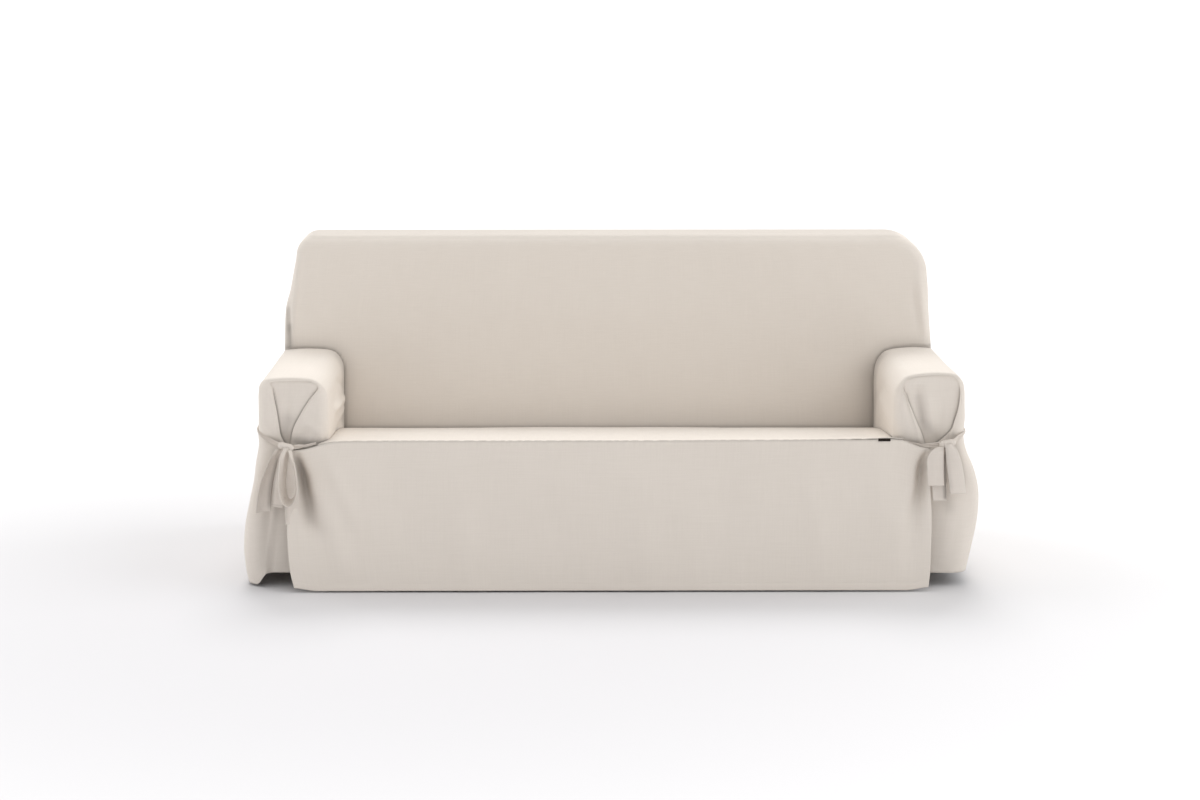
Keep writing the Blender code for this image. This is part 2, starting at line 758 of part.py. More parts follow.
# --------------------------------------------------------------------- model
def build():
    clear_scene()
    cloth = make_material("ecru_cotton", (0.69, 0.62, 0.54), 0.9)
    ribbon = make_material("ecru_ribbon", (0.66, 0.59, 0.52), 0.9)
    dark = make_material("dark_label", (0.03, 0.02, 0.02), 0.7)

    make_sheet("inside_back", 2 * (len(INSIDE_STOPS) - 1), len(INSIDE_RISE) - 1, inside_back_shape, cloth)
    make_sheet("back_band", 2 * BAND_HALF, 5, back_band_shape, cloth)
    make_sheet("rear_panel", 2 * (len(REAR_STOPS) - 1), len(REAR_RISE) - 1, rear_panel_shape, cloth)
    make_sheet("seat_panel", 16, len(SEAT_DEPTHS) - 1, seat_shape, cloth)
    make_sheet("front_apron", 2 * (len(APRON_STOPS) - 1), 11, apron_shape, cloth)
    for side, word in SIDE_NAMES.items():
        lines = len(ARM_LINES[side]) - 1
        rows = len(ARM_FRONTS[side]) - 1
        make_sheet(f"arm_cover_{word}", lines, 10, arm_cover_shape(side), cloth)
        make_sheet(f"arm_front_{word}", 8, rows, arm_front_shape(side), cloth)
    for name, rows in RIBBONS.items():
        make_sheet(name, 2 * (len(rows) - 1), 1, ribbon_shape(rows), ribbon, RIBBON, 0.0)
    for name, rows in BANDS.items():
        make_sheet(name, 2 * (len(rows) - 1), 1, band_shape(rows), ribbon, RIBBON, 0.0)
    for name, sizes in KNOTS.items():
        make_knot(name, *sizes, ribbon)
    make_label(dark)


build()
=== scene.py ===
# %% [markdown]
# # A tied cotton cover for a three-seat sofa
# The cover is loose woven cloth, sewn from a few large panels and drawn in by
# a bow at the front of each arm. It could be draped by a cloth simulation, but
# the real one is cut to shape and pulled smooth, so each panel is laid out by
# a function from a few named sizes, and the creases are listed one by one.

# %% Load the fixed model and keep its box
import math

import bmesh
import bpy
import numpy as np
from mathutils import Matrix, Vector, noise


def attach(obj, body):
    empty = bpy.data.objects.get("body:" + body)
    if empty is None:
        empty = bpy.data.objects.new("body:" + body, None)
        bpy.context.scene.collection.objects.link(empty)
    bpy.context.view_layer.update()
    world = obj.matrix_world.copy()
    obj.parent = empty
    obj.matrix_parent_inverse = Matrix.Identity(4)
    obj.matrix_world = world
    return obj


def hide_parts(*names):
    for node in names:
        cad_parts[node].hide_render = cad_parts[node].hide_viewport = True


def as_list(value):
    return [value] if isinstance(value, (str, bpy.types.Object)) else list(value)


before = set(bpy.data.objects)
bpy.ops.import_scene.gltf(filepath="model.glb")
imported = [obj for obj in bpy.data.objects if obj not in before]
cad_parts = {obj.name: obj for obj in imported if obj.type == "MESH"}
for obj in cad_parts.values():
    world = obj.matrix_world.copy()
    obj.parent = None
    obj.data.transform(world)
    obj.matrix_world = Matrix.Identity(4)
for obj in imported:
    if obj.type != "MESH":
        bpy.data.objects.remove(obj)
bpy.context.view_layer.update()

# %% [markdown]
# ## Where things are measured from
# A maker measures a sofa cover from the floor, from the front of the arms and
# from the middle of the seat. All tables here use those three: across, depth
# and height, in metres. One vector moves them to the model's own origin,
# which lies under the middle of the cover's top.

# %% Origin, sides and cloth thickness
TOP_HEIGHT = 0.915
ORIGIN = Vector((0.0, 0.720, TOP_HEIGHT - 0.002))
LEFT, RIGHT = -1, 1
SIDES = {LEFT: "left", RIGHT: "right"}
COLUMN = {LEFT: 0, RIGHT: 1}
CLOTH, SEAM = 0.0014, 0.0004


def side_of(across):
    return LEFT if across < 0 else RIGHT


# %% [markdown]
# ## Reading smooth curves from short tables
# Straight lines between table rows would show as hard kinks in a soft cloth.
# A cubic through the rows keeps every outline fair. Two readers are enough:
# one for tables whose first column is a measure, one for rows evenly spread
# from 0 to 1.

# %% Table readers
def smooth_step(low, high, value):
    share = min(1.0, max(0.0, (value - low) / (high - low)))
    return share * share * (3.0 - 2.0 * share)


def fair_table(rows, at):
    """The other columns of a table at a value of its rising first column."""
    last = len(rows) - 1
    at = min(rows[-1][0], max(rows[0][0], at))
    index = 0
    while index < last - 1 and at > rows[index + 1][0]:
        index += 1
    low, high = rows[index], rows[index + 1]
    before, after = rows[max(index - 1, 0)], rows[min(index + 2, last)]
    span = high[0] - low[0]
    share = (at - low[0]) / span
    values = []
    for column in range(1, len(low)):
        start = (high[column] - before[column]) / (high[0] - before[0]) * span
        end = (after[column] - low[column]) / (after[0] - low[0]) * span
        p, q = low[column], high[column]
        bend = 3 * (q - p) - 2 * start - end
        twist = 2 * (p - q) + start + end
        values.append(p + share * (start + share * (bend + share * twist)))
    return values


def curve_point(rows, at):
    """A point of the curve through the rows, 0 at the first and 1 at the last."""
    place = at * (len(rows) - 1)
    index = min(int(place), len(rows) - 2)
    share = place - index
    before = rows[max(index - 1, 0)]
    after = rows[min(index + 2, len(rows) - 1)]
    point = []
    for p0, p1, p2, p3 in zip(before, rows[index], rows[index + 1], after):
        bend = 2 * p0 - 5 * p1 + 4 * p2 - p3
        twist = 3 * (p1 - p2) + p3 - p0
        point.append(p1 + 0.5 * share * (p2 - p0 + share * (bend + share * twist)))
    return point


def pick_stop(stops, share):
    """Reads a list of stops with even steps of share."""
    place = share * (len(stops) - 1)
    index = min(int(place + 1e-6), len(stops) - 2)
    return stops[index] + (place - index) * (stops[index + 1] - stops[index])


# %% [markdown]
# ## Spacing of the mesh
# A sewn edge that rolls over 30 mm needs short steps, the flat of the cloth
# does not. The stops are therefore even over the flat and follow the turn of
# the roll by equal angles, which keeps the mesh light.

# %% Stops for a panel with a rolled edge
CELL = 0.0065


def rolled_stops(length, radius, cell=CELL, turns=7):
    """Shares from 0 at the flat to 1 at the edge of a roll of that radius."""
    flat = length - radius
    count = max(2, round(flat / cell))
    stops = [flat * step / count / length for step in range(count)]
    for step in range(turns + 1):
        angle = math.radians(90) * step / turns
        stops.append((flat + radius * math.sin(angle)) / length)
    return stops


def even_stops(length, cell=CELL):
    count = max(2, round(length / cell))
    return [step / count for step in range(count + 1)]


def spaced(parts):
    """Stops from rows of start, end and count, with the last end included."""
    stops = [start + (end - start) * step / count
             for start, end, count in parts for step in range(count)]
    return stops + [parts[-1][1]]


def tight_stops(length, edge, cell=CELL, rows=6):
    """Even shares, with close rows along a hem of that depth at the start."""
    stops = [edge / length * step / rows for step in range(rows)]
    count = max(2, round((length - edge) / cell))
    return stops + [(edge + (length - edge) * step / count) / length for step in range(count + 1)]


# %% [markdown]
# ## Woven cloth
# The cover is a plain weave of matt ecru cotton. The threads are far too fine
# to model, so the surface gets them as a bump of two crossed bands, one for
# the warp and one for the weft, with uneven slubs in both. The pattern reads
# each piece's own map, which is laid out in real metres of cloth, so the
# threads run along the panels and turn with every fold. Two finishes share
# it: the panels, and the ties, which are sewn double; the ties' cotton is set
# a little darker and looks closer. The bottoms of narrow folds get so little
# light that a painted shade helps: every point of a piece carries a value
# from 0 to 1, and the cotton is tinted darker by it.

# %% Node helpers
def node(tree, kind, x, y, **settings):
    made = tree.nodes.new(kind)
    made.location = (x, y)
    for name, value in settings.items():
        setattr(made, name, value)
    return made


def link(tree, out, into):
    tree.links.new(out, into)


def set_inputs(made, **values):
    for name, value in values.items():
        made.inputs[name.replace("_", " ")].default_value = value


def new_finish(name, **values):
    """A material with these values on its shader."""
    material = bpy.data.materials.new(name)
    material.use_nodes = True
    tree = material.node_tree
    shader = tree.nodes["Principled BSDF"]
    set_inputs(shader, **values)
    return material, tree, shader


def colour_ramp(tree, value, x, y, low, high, interpolation="LINEAR"):
    """low and high are each a position and a colour."""
    ramp = node(tree, "ShaderNodeValToRGB", x, y)
    ramp.color_ramp.interpolation = interpolation
    for stop, (position, colour) in zip(ramp.color_ramp.elements, (low, high)):
        stop.position, stop.color = position, (*colour, 1)
    link(tree, value, ramp.inputs["Fac"])
    return ramp.outputs["Color"]


def add_relief(tree, height, shader, strength, depth):
    raised = node(tree, "ShaderNodeBump", -300, 0)
    set_inputs(raised, Strength=strength, Distance=depth)
    link(tree, height, raised.inputs["Height"])
    link(tree, raised.outputs["Normal"], shader.inputs["Normal"])


# %% Cotton finish
THREAD, THREAD_RELIEF = 0.0011, 0.0004
CLOTH_MAP, SHADE_MAP = "cloth", "fold shade"
FOLD_TINT = (0.41, 0.40, 0.395)


def slub_noise(tree, place, x, y, stretch, scale, detail=2.0):
    """Noise drawn out along one thread direction."""
    turn = node(tree, "ShaderNodeMapping", x, y)
    turn.inputs["Scale"].default_value = stretch
    link(tree, place, turn.inputs["Vector"])
    grain = node(tree, "ShaderNodeTexNoise", x + 200, y)
    set_inputs(grain, Scale=scale, Detail=detail, Roughness=0.6)
    link(tree, turn.outputs["Vector"], grain.inputs["Vector"])
    return grain.outputs["Fac"]


def blend_value(tree, first, second, x, y, operation="ADD"):
    """second is another output or a plain number."""
    made = node(tree, "ShaderNodeMath", x, y, operation=operation)
    link(tree, first, made.inputs[0])
    if isinstance(second, float):
        made.inputs[1].default_value = second
    else:
        link(tree, second, made.inputs[1])
    return made.outputs["Value"]


def thread_bands(tree, place, x, y, direction):
    """One band per thread: at a scale of 1 the texture has 20 / (2 pi) bands a metre."""
    bands = node(tree, "ShaderNodeTexWave", x, y, bands_direction=direction)
    scale = 2 * math.pi / (20 * THREAD)
    set_inputs(bands, Scale=scale, Distortion=1.2, Detail=1.0, Detail_Scale=0.35)
    link(tree, place, bands.inputs["Vector"])
    return bands.outputs["Fac"]


def make_cotton(name, light, shade, bump):
    """light and shade are the two colours that the slubs vary between."""
    material, tree, shader = new_finish(
        name, Roughness=0.92, Specular_IOR_Level=0.18, Sheen_Weight=0.12, Sheen_Roughness=0.45)
    uv = node(tree, "ShaderNodeUVMap", -1500, 0, uv_map=CLOTH_MAP)
    place = uv.outputs["UV"]
    warp = thread_bands(tree, place, -1100, 300, "X")
    weft = thread_bands(tree, place, -1100, 0, "Y")
    weave = blend_value(tree, warp, weft, -900, 150)
    warp_slub = slub_noise(tree, place, -1300, -300, (260, 9, 1), 1.0)
    weft_slub = slub_noise(tree, place, -1300, -600, (9, 260, 1), 1.0)
    slubs = blend_value(tree, warp_slub, weft_slub, -900, -450)
    cloud = slub_noise(tree, place, -1300, -900, (1, 1, 1), 7.0, 3.0)
    half_cloud = blend_value(tree, cloud, 0.5, -900, -800, "MULTIPLY")
    tone = blend_value(tree, slubs, half_cloud, -700, -500)
    half_tone = blend_value(tree, tone, 0.5, -600, -300, "MULTIPLY")
    colour = colour_ramp(tree, half_tone, -450, -300, (0.42, shade), (0.83, light))
    folded = node(tree, "ShaderNodeAttribute", -450, -600, attribute_name=SHADE_MAP)
    darker = node(tree, "ShaderNodeMix", -200, -400, data_type="RGBA", blend_type="MULTIPLY")
    darker.inputs["B"].default_value = (*FOLD_TINT, 1)
    link(tree, folded.outputs["Fac"], darker.inputs["Factor"])
    link(tree, colour, darker.inputs["A"])
    link(tree, darker.outputs["Result"], shader.inputs["Base Color"])
    add_relief(tree, blend_value(tree, weave, slubs, -600, 100), shader, bump, THREAD_RELIEF)
    return material


COTTON = make_cotton("ecru_cotton", (0.825, 0.760, 0.690), (0.785, 0.720, 0.650), 0.35)
TIE_COTTON = make_cotton("ecru_tie_cotton", (0.785, 0.720, 0.655), (0.745, 0.680, 0.615), 0.45)
print("finishes", COTTON.name, TIE_COTTON.name)

# %% [markdown]
# ## Camera
# The picture is taken with a long lens from a little above the sofa, almost
# square on. The place of the camera was found by fitting known corners of the
# cover, so no shift of the lens is needed.

# %% Camera from the fitted view
PICTURE = (1200, 800)
FOCAL_PIXELS = 2771.6
CAMERA_ACROSS, CAMERA_BACK, CAMERA_HEIGHT = -0.0809, 7.5406, 1.814
CAMERA_PITCH, CAMERA_TURN = math.radians(9.684), math.radians(0.393)

lens = bpy.data.cameras.new("photo_camera")
lens.sensor_width = 36
lens.lens = lens.sensor_width * FOCAL_PIXELS / PICTURE[0]
camera = bpy.data.objects.new("photo_camera", lens)
bpy.context.collection.objects.link(camera)
camera.location = Vector((CAMERA_ACROSS, -CAMERA_BACK, CAMERA_HEIGHT)) - ORIGIN
camera.rotation_euler = (math.radians(90) - CAMERA_PITCH, 0, -CAMERA_TURN)
bpy.context.scene.camera = camera
print("lens", round(lens.lens, 2), "mm")

# %% [markdown]
# ## Creases listed one by one
# A stretched cotton cover has few folds, and the ones it has are soft. Each
# crease is a short line in space with a half width and a height. A negative
# height is a trough. The cloth near the line moves along its own normal by a
# bell curve, which fades out towards both ends of the line. Under them lies a
# slow unevenness of a millimetre or two, because no cloth hangs quite flat.
# The painted shade is laid out in the same way, with a strength for a height.

# %% Crease and unevenness helpers
def line_distances(points, ends):
    """Share along a line between two points and distance from it, for each point."""
    start = np.array(ends[:3])
    run = np.array(ends[3:]) - start
    along = np.clip((points - start) @ run / (run @ run), 0, 1)
    return along, np.linalg.norm(points - start - along[:, None] * run, axis=1)


def crease_heights(points, creases):
    """How far each point moves along its normal, for rows of creases."""
    total = np.zeros(len(points))
    for *ends, half_width, height in creases:
        along, away = line_distances(points, ends)
        fade = np.sin(np.pi * (0.12 + 0.76 * along)) ** 0.8
        total += height * fade * np.exp(-((away / half_width) ** 2))
    return total


def unevenness(points, size, height, seed):
    """Slow bumps of about that size and height."""
    off = Vector((seed * 3.1, seed * 1.7, seed * 0.9))
    return np.array([height * noise.noise(Vector(point) / size + off) for point in points])


def shade_lines(points, lines):
    """Painted shade, 0 to 1, for rows of lines with a half width and a strength."""
    left = np.ones(len(points))
    for *ends, half_width, strength in lines:
        away = line_distances(points, ends)[1]
        left *= 1 - strength * np.exp(-((away / half_width) ** 2))
    return 1 - left


# %% [markdown]
# ## A panel of cloth
# Every panel starts as one flat grid. Its shape function says where each
# point of the grid hangs. Then the creases are pressed in along the normals,
# the grid gets its map in metres of cloth and its painted shade, and Solidify
# gives it the thickness of the cloth, inwards from the face that shows.

# %% Panel maker
def new_piece(name, form, material):
    """Turns a bmesh into an object with one finish."""
    mesh = bpy.data.meshes.new(name)
    form.to_mesh(mesh)
    form.free()
    mesh.materials.append(material)
    piece = bpy.data.objects.new(name, mesh)
    bpy.context.collection.objects.link(piece)
    return piece


def lay_panel(name, across_stops, along_stops, shape, creases, uneven, material=COTTON,
              thickness=CLOTH, offset=-1.0, keep=None, shade=None, lines=()):
    """keep(u, v) is 0 where the cloth must stay on its function, as at seams.

    uneven is the size, height and seed of the slow bumps. shade(u, v, across,
    depth, height) and the rows of lines give the painted shade.
    """
    columns, rows = len(across_stops) - 1, len(along_stops) - 1
    cloth = bmesh.new()
    bmesh.ops.create_grid(cloth, x_segments=columns, y_segments=rows, size=0.5)
    cloth.verts.ensure_lookup_table()
    places = [(vert.co.x + 0.5, vert.co.y + 0.5) for vert in cloth.verts]
    cuts = [(pick_stop(across_stops, u), pick_stop(along_stops, v)) for u, v in places]
    for vert, (u, v) in zip(cloth.verts, cuts):
        vert.co = Vector(shape(u, v))
    cloth.normal_update()
    points = np.array([vert.co[:] for vert in cloth.verts])
    lift = crease_heights(points, creases)
    if uneven:
        lift += unevenness(points, *uneven)
    for vert, amount, (u, v) in zip(cloth.verts, lift, cuts):
        held = keep(u, v) if keep else 1.0
        vert.co += vert.normal * float(amount) * held
    lay_map(cloth, places, cuts)
    shades = shade_lines(points, lines)
    if shade:
        painted = np.array([shade(u, v, *vert.co) for vert, (u, v) in zip(cloth.verts, cuts)])
        shades = 1 - (1 - shades) * (1 - painted)
    for vert in cloth.verts:
        vert.co -= ORIGIN
    return finish_panel(name, cloth, material, thickness, offset, shades)


def lay_map(cloth, places, cuts):
    """Gives the grid its map in metres of cloth."""
    across_length, along_length = map_lengths(cloth, places)
    layer = cloth.loops.layers.uv.new(CLOTH_MAP)
    for face in cloth.faces:
        face.smooth = True
        for loop in face.loops:
            u, v = cuts[loop.vert.index]
            loop[layer].uv = (u * across_length, v * along_length)


def map_lengths(cloth, places):
    """Lengths of the panel along the middle of its width and of its height."""
    lengths = []
    for along, over in ((0, 1), (1, 0)):
        middle = min((abs(place[over] - 0.5), place[over]) for place in places)[1]
        line = sorted((place[along], index) for index, place in enumerate(places)
                      if abs(place[over] - middle) < 1e-4)
        spots = [cloth.verts[index].co for _, index in line]
        lengths.append(sum((b - a).length for a, b in zip(spots, spots[1:])))
    return lengths


def finish_panel(name, cloth, material, thickness, offset, shades):
    piece = new_piece(name, cloth, material)
    painted = piece.data.attributes.new(SHADE_MAP, "FLOAT", "POINT")
    painted.data.foreach_set("value", shades)
    body = piece.modifiers.new("cloth thickness", "SOLIDIFY")
    body.thickness = thickness
    body.offset = offset
    body.use_even_offset = False
    body.use_quality_normals = True
    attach(piece, "root")
    print(name, len(piece.data.polygons), "faces")
    return piece


# %% [markdown]
# ## The outline of the back
# Seen from the front the back is a wide rectangle with rounded upper corners,
# a tighter one on the left than on the right. The cloth rolls over the edge
# of the padding. Inside back, rear and the band between them all read the
# same outline, so that they meet at the seams.

# %% Outline of the back
BACK_REAR, REAR_SPREAD, RECLINE = 0.800, 0.045, 0.15
CREASE_HEIGHT, CREASE_DEPTH = 0.362, 0.530
ROLL, REAR_ROLL = 0.030, 0.015
CORNER = {LEFT: 0.058, RIGHT: 0.115}
ARM_TOP, ARM_SEAM = 0.587, 0.564
BACK_EDGES = (
    # height, half width at the left, at the right
    (0.000, 0.990, 0.995),
    (0.250, 0.973, 0.976),
    (0.450, 0.964, 0.964),
    (0.580, 0.960, 0.958),
    (0.700, 0.956, 0.950),
    (0.757, 0.942, 0.9485),
    (0.800, 0.934, 0.945),
    (0.857, 0.924, 0.940),
    (0.915, 0.918, 0.936),
)


def corner_of(side):
    """Radius of the corner, the height where it starts and the half width inside it."""
    radius = CORNER[side]
    start = TOP_HEIGHT - radius
    return radius, start, fair_table(BACK_EDGES, start)[COLUMN[side]] - radius


CORNERS = {side: corner_of(side) for side in SIDES}


def corner_point(side, angle):
    """A point of the rounded corner, from 0 at its foot to 90 degrees at the top."""
    radius, start, inner = CORNERS[side]
    angle = math.radians(angle)
    return side * (inner + radius * math.cos(angle)), start + radius * math.sin(angle)


def side_edge(side, height):
    """Half width of the back at a height, with its rounded upper corner."""
    radius, start, inner = CORNERS[side]
    if height <= start:
        return fair_table(BACK_EDGES, height)[COLUMN[side]]
    rise = min(height - start, radius)
    return inner + math.sqrt(radius ** 2 - rise ** 2)


def edge_distance(across, height):
    """How far a point of the back lies inside its outline."""
    side = side_of(across)
    radius, start = CORNERS[side][:2]
    edge = side_edge(side, min(height, start))
    past_side = abs(across) - (edge - radius)
    past_top = height - start
    if past_side > 0 and past_top > 0:
        return radius - math.hypot(past_side, past_top)
    return min(edge - abs(across), TOP_HEIGHT - height)


def roll_depth(distance, radius):
    """How far the cloth has turned round the edge at a distance from it."""
    rest = radius - min(radius, max(0.0, distance))
    return radius - math.sqrt(max(0.0, radius ** 2 - rest ** 2))


def face_depth(height):
    return CREASE_DEPTH + RECLINE * (height - CREASE_HEIGHT)


def back_depth(across, height):
    """Depth of the inside back's surface, or of the seam at its sides."""
    distance = edge_distance(across, height)
    level = height if distance > ROLL else max(height, ARM_TOP)
    return face_depth(level) + roll_depth(distance, ROLL)


def rear_depth(height):
    return BACK_REAR + REAR_SPREAD * (TOP_HEIGHT - height)


def both_ways(stops):
    """Stops from the middle to an edge, set out from -1 to 1."""
    return [-stop for stop in stops[:0:-1]] + list(stops)


# %% [markdown]
# ## Inside back
# The large panel behind the seat runs from the crease of the seat up to the
# rolled top edge, and up over both arms at its sides. It is pulled smooth.
# Only faint long troughs show above the arms, a narrow fold at each side edge,
# and a soft hollow near the lower right, where the cloth is tucked in behind
# the arm. Where an arm presses against it the panel is darker, in a thin line
# and a soft shade that follow the contour of the arm.

# %% Inside back
UNDER_ARM = (
    # across, height of the edge that goes over the arm
    (0.812, 0.566),
    (0.850, 0.576),
    (0.930, 0.576),
    (0.960, ARM_SEAM),
)
INSIDE_CREASES = (
    # across, depth, height of both ends, half width, height of the crease
    (-0.914, 0.610, 0.850, -0.932, 0.569, 0.620, 0.010, 0.0055),
    (-0.946, 0.588, 0.710, -0.944, 0.568, 0.590, 0.009, -0.0080),
    (0.916, 0.596, 0.800, 0.934, 0.573, 0.640, 0.011, 0.0045),
    (0.900, 0.590, 0.760, 0.924, 0.569, 0.620, 0.012, -0.0040),
    (-0.700, 0.540, 0.400, -0.560, 0.560, 0.620, 0.060, -0.0020),
    (0.740, 0.545, 0.420, 0.700, 0.570, 0.640, 0.045, -0.0030),
    (-0.300, 0.575, 0.700, 0.250, 0.580, 0.690, 0.070, 0.0020),
    (0.880, 0.590, 0.640, 0.780, 0.600, 0.760, 0.050, -0.0020),
    (-0.760, 0.590, 0.800, -0.850, 0.600, 0.700, 0.045, -0.0020),
)
INSIDE_SHADES = (
    # both ends, half width, strength
    (-0.950, 0.592, 0.700, -0.947, 0.578, 0.640, 0.008, 0.35),
    (-0.946, 0.579, 0.650, -0.942, 0.566, 0.585, 0.009, 0.70),
    (-0.955, 0.595, 0.710, -0.957, 0.580, 0.600, 0.009, 0.15),
    (0.782, 0.533, 0.370, 0.784, 0.552, 0.500, 0.050, 0.36),
    (-0.780, 0.529, 0.352, 0.780, 0.529, 0.352, 0.009, 0.70),
    (-0.780, 0.531, 0.356, 0.780, 0.531, 0.356, 0.050, 0.16),
)
ARM_CONTOUR = {
    LEFT: (
        # half width, height of the line where the arm meets the back
        (0.780, 0.350), (0.780, 0.520), (0.785, 0.544), (0.796, 0.566),
        (0.812, 0.580), (0.838, 0.587), (0.888, 0.589), (0.955, 0.588),
    ),
    RIGHT: (
        (0.782, 0.350), (0.784, 0.500), (0.788, 0.534), (0.797, 0.558),
        (0.815, 0.578), (0.846, 0.588), (0.900, 0.592), (0.955, 0.590),
    ),
}
CONTACT_LINE, CONTACT_SHADE = (0.0055, 0.55), (0.026, 0.24)
ARM_RISE, BETWEEN_ARMS = 0.38, 0.83
BEHIND_SEAT, LAPPED, TOP_SHADE = 0.019, 0.004, 0.25


def inside_back_place(share, rise):
    """Rows below ARM_RISE lie between the arms and close up to a line over them."""
    side = side_of(share)
    over_arm = fair_table(UNDER_ARM, abs(share) * side_edge(side, ARM_TOP))[0]
    bottom = CREASE_HEIGHT - BEHIND_SEAT if abs(share) < BETWEEN_ARMS else over_arm - LAPPED
    if rise < ARM_RISE:
        height = bottom + (over_arm - bottom) * rise / ARM_RISE
    else:
        height = over_arm + (TOP_HEIGHT - over_arm) * (rise - ARM_RISE) / (1 - ARM_RISE)
    across = share * side_edge(side, height)
    return across, back_depth(across, height), height


def top_shade(u, v, across, depth, height):
    """Painted shade makes the rolled top edge a little darker."""
    return TOP_SHADE * smooth_step(0.902, 0.912, height)


def contact_shade(u, v, across, depth, height):
    """A thin dark line and a soft shade where the arms press against the back."""
    line = [Vector(spot) for spot in ARM_CONTOUR[side_of(across)]]
    point = Vector((abs(across), height))
    nearest = 1.0
    for start, end in zip(line, line[1:]):
        run = end - start
        along = min(1.0, max(0.0, (point - start).dot(run) / run.length_squared))
        nearest = min(nearest, (point - start - along * run).length)
    shade = sum(strength * math.exp(-((nearest / half_width) ** 2))
                for half_width, strength in (CONTACT_LINE, CONTACT_SHADE))
    return max(shade, top_shade(u, v, across, depth, height))


inside_back = lay_panel(
    "inside_back_cloth", both_ways(rolled_stops(0.955, ROLL, 0.0075)), rolled_stops(0.553, ROLL),
    inside_back_place, INSIDE_CREASES, (0.30, 0.0022, 2.0),
    keep=lambda u, v: smooth_step(0.0, 0.012, 1 - abs(u)) * smooth_step(0.0, 0.10, 1 - v),
    shade=contact_shade, lines=INSIDE_SHADES)
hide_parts("inside_back")

# %% [markdown]
# ## Band over the top and down the sides
# A strip joins the inside back to the rear. It runs up one side, over the top
# and down the other side. Behind the arms it hangs free, so it waves a little
# more towards its hem.

# %% Band of the back
SIDE_HEM = 0.030
BAND_WAVE, TOP_SAG = 0.006, 0.0025


def band_outline(side, run):
    """Outline of the band at a distance from the hem along it."""
    radius, start, inner = CORNERS[side]
    rise, turn = start - SIDE_HEM, radius * math.pi / 2
    if run <= rise:
        height = SIDE_HEM + run
        return side * side_edge(side, height), height
    if run <= rise + turn:
        return corner_point(side, 90 * (run - rise) / turn)
    return side * max(0.0, inner - (run - rise - turn)), TOP_HEIGHT


def band_length(side):
    radius, start, inner = CORNERS[side]
    return start - SIDE_HEM + radius * math.pi / 2 + inner


def drape_wave(place, height, pitch, reach):
    """Soft hanging waves that grow from the arm's height down to the hem."""
    growth = smooth_step(0.45, 0.0, height)
    return reach * growth * math.sin(2 * math.pi * place / pitch)


def band_place(u, v):
    side = LEFT if u < 0.5 else RIGHT
    run = (1 - abs(2 * u - 1)) * band_length(side)
    across, height = band_outline(side, run)
    front = face_depth(max(height, ARM_TOP)) + ROLL + SEAM
    rear = rear_depth(height) - REAR_ROLL - SEAM
    depth = front + v * (rear - front)
    wave = drape_wave(v, height, 1.0, BAND_WAVE)
    sag = TOP_SAG * math.sin(math.pi * v) * smooth_step(TOP_HEIGHT - 0.02, TOP_HEIGHT, height)
    return across + side * wave, depth, height - sag


BAND_CREASES = (
    # the same eight columns as for the inside back, and so below
    (-0.970, 0.700, 0.420, -0.985, 0.690, 0.050, 0.030, -0.0040),
    (-0.970, 0.760, 0.330, -0.985, 0.770, 0.050, 0.022, 0.0030),
    (0.972, 0.680, 0.400, 0.990, 0.670, 0.050, 0.028, -0.0040),
    (0.972, 0.750, 0.350, 0.990, 0.760, 0.050, 0.022, 0.0035),
    (-0.500, 0.700, 0.915, -0.200, 0.740, 0.915, 0.030, -0.0015),
    (0.300, 0.720, 0.915, 0.600, 0.690, 0.915, 0.030, -0.0015),
)
back_band = lay_panel(
    "back_band_cloth", even_stops(3.7, 0.010), even_stops(0.19, 0.008), band_place, BAND_CREASES,
    (0.15, 0.0010, 3.0),
    keep=lambda u, v: smooth_step(0.0, 0.2, v) * smooth_step(0.0, 0.2, 1 - v), shade=top_shade)
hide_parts("back_band")

# %% [markdown]
# ## Rear panel
# The rear hangs straight from its rolled top seam almost to the floor. Nothing
# pulls it in below, so it carries the slow vertical waves of any hanging cloth.
# A plain grid would leave the rounded corners ragged. So the rows and columns
# are spread between the outline's sides and its top, and bend with them.

# %% Rear panel
REAR_HEM, CORNER_SHARE = 0.030, 0.88
REAR_PITCH, REAR_WAVE, REAR_SHIFT = 0.46, 0.007, 0.07
REAR_CREASES = (
    (-0.550, 0.815, 0.560, -0.600, 0.840, 0.060, 0.045, 0.0060),
    (-0.380, 0.815, 0.480, -0.400, 0.840, 0.060, 0.030, -0.0050),
    (-0.080, 0.815, 0.620, -0.050, 0.840, 0.080, 0.050, 0.0050),
    (0.180, 0.815, 0.440, 0.210, 0.840, 0.060, 0.030, -0.0055),
    (0.420, 0.815, 0.600, 0.400, 0.840, 0.050, 0.045, 0.0060),
    (0.680, 0.815, 0.520, 0.720, 0.840, 0.060, 0.035, -0.0050),
    (0.840, 0.810, 0.700, 0.870, 0.840, 0.060, 0.025, 0.0040),
    (-0.820, 0.810, 0.680, -0.860, 0.840, 0.060, 0.028, -0.0040),
)


def outline_side(side, share):
    """Side of the outline from the hem up to the middle of the corner."""
    if share < CORNER_SHARE:
        height = REAR_HEM + (CORNERS[side][1] - REAR_HEM) * share / CORNER_SHARE
        return side * side_edge(side, height), height
    return corner_point(side, 45 * (share - CORNER_SHARE) / (1 - CORNER_SHARE))


def outline_top(side, share):
    """Top of the outline from its middle to the middle of the corner."""
    if share < CORNER_SHARE:
        return side * CORNERS[side][2] * share / CORNER_SHARE, TOP_HEIGHT
    return corner_point(side, 90 - 45 * (share - CORNER_SHARE) / (1 - CORNER_SHARE))


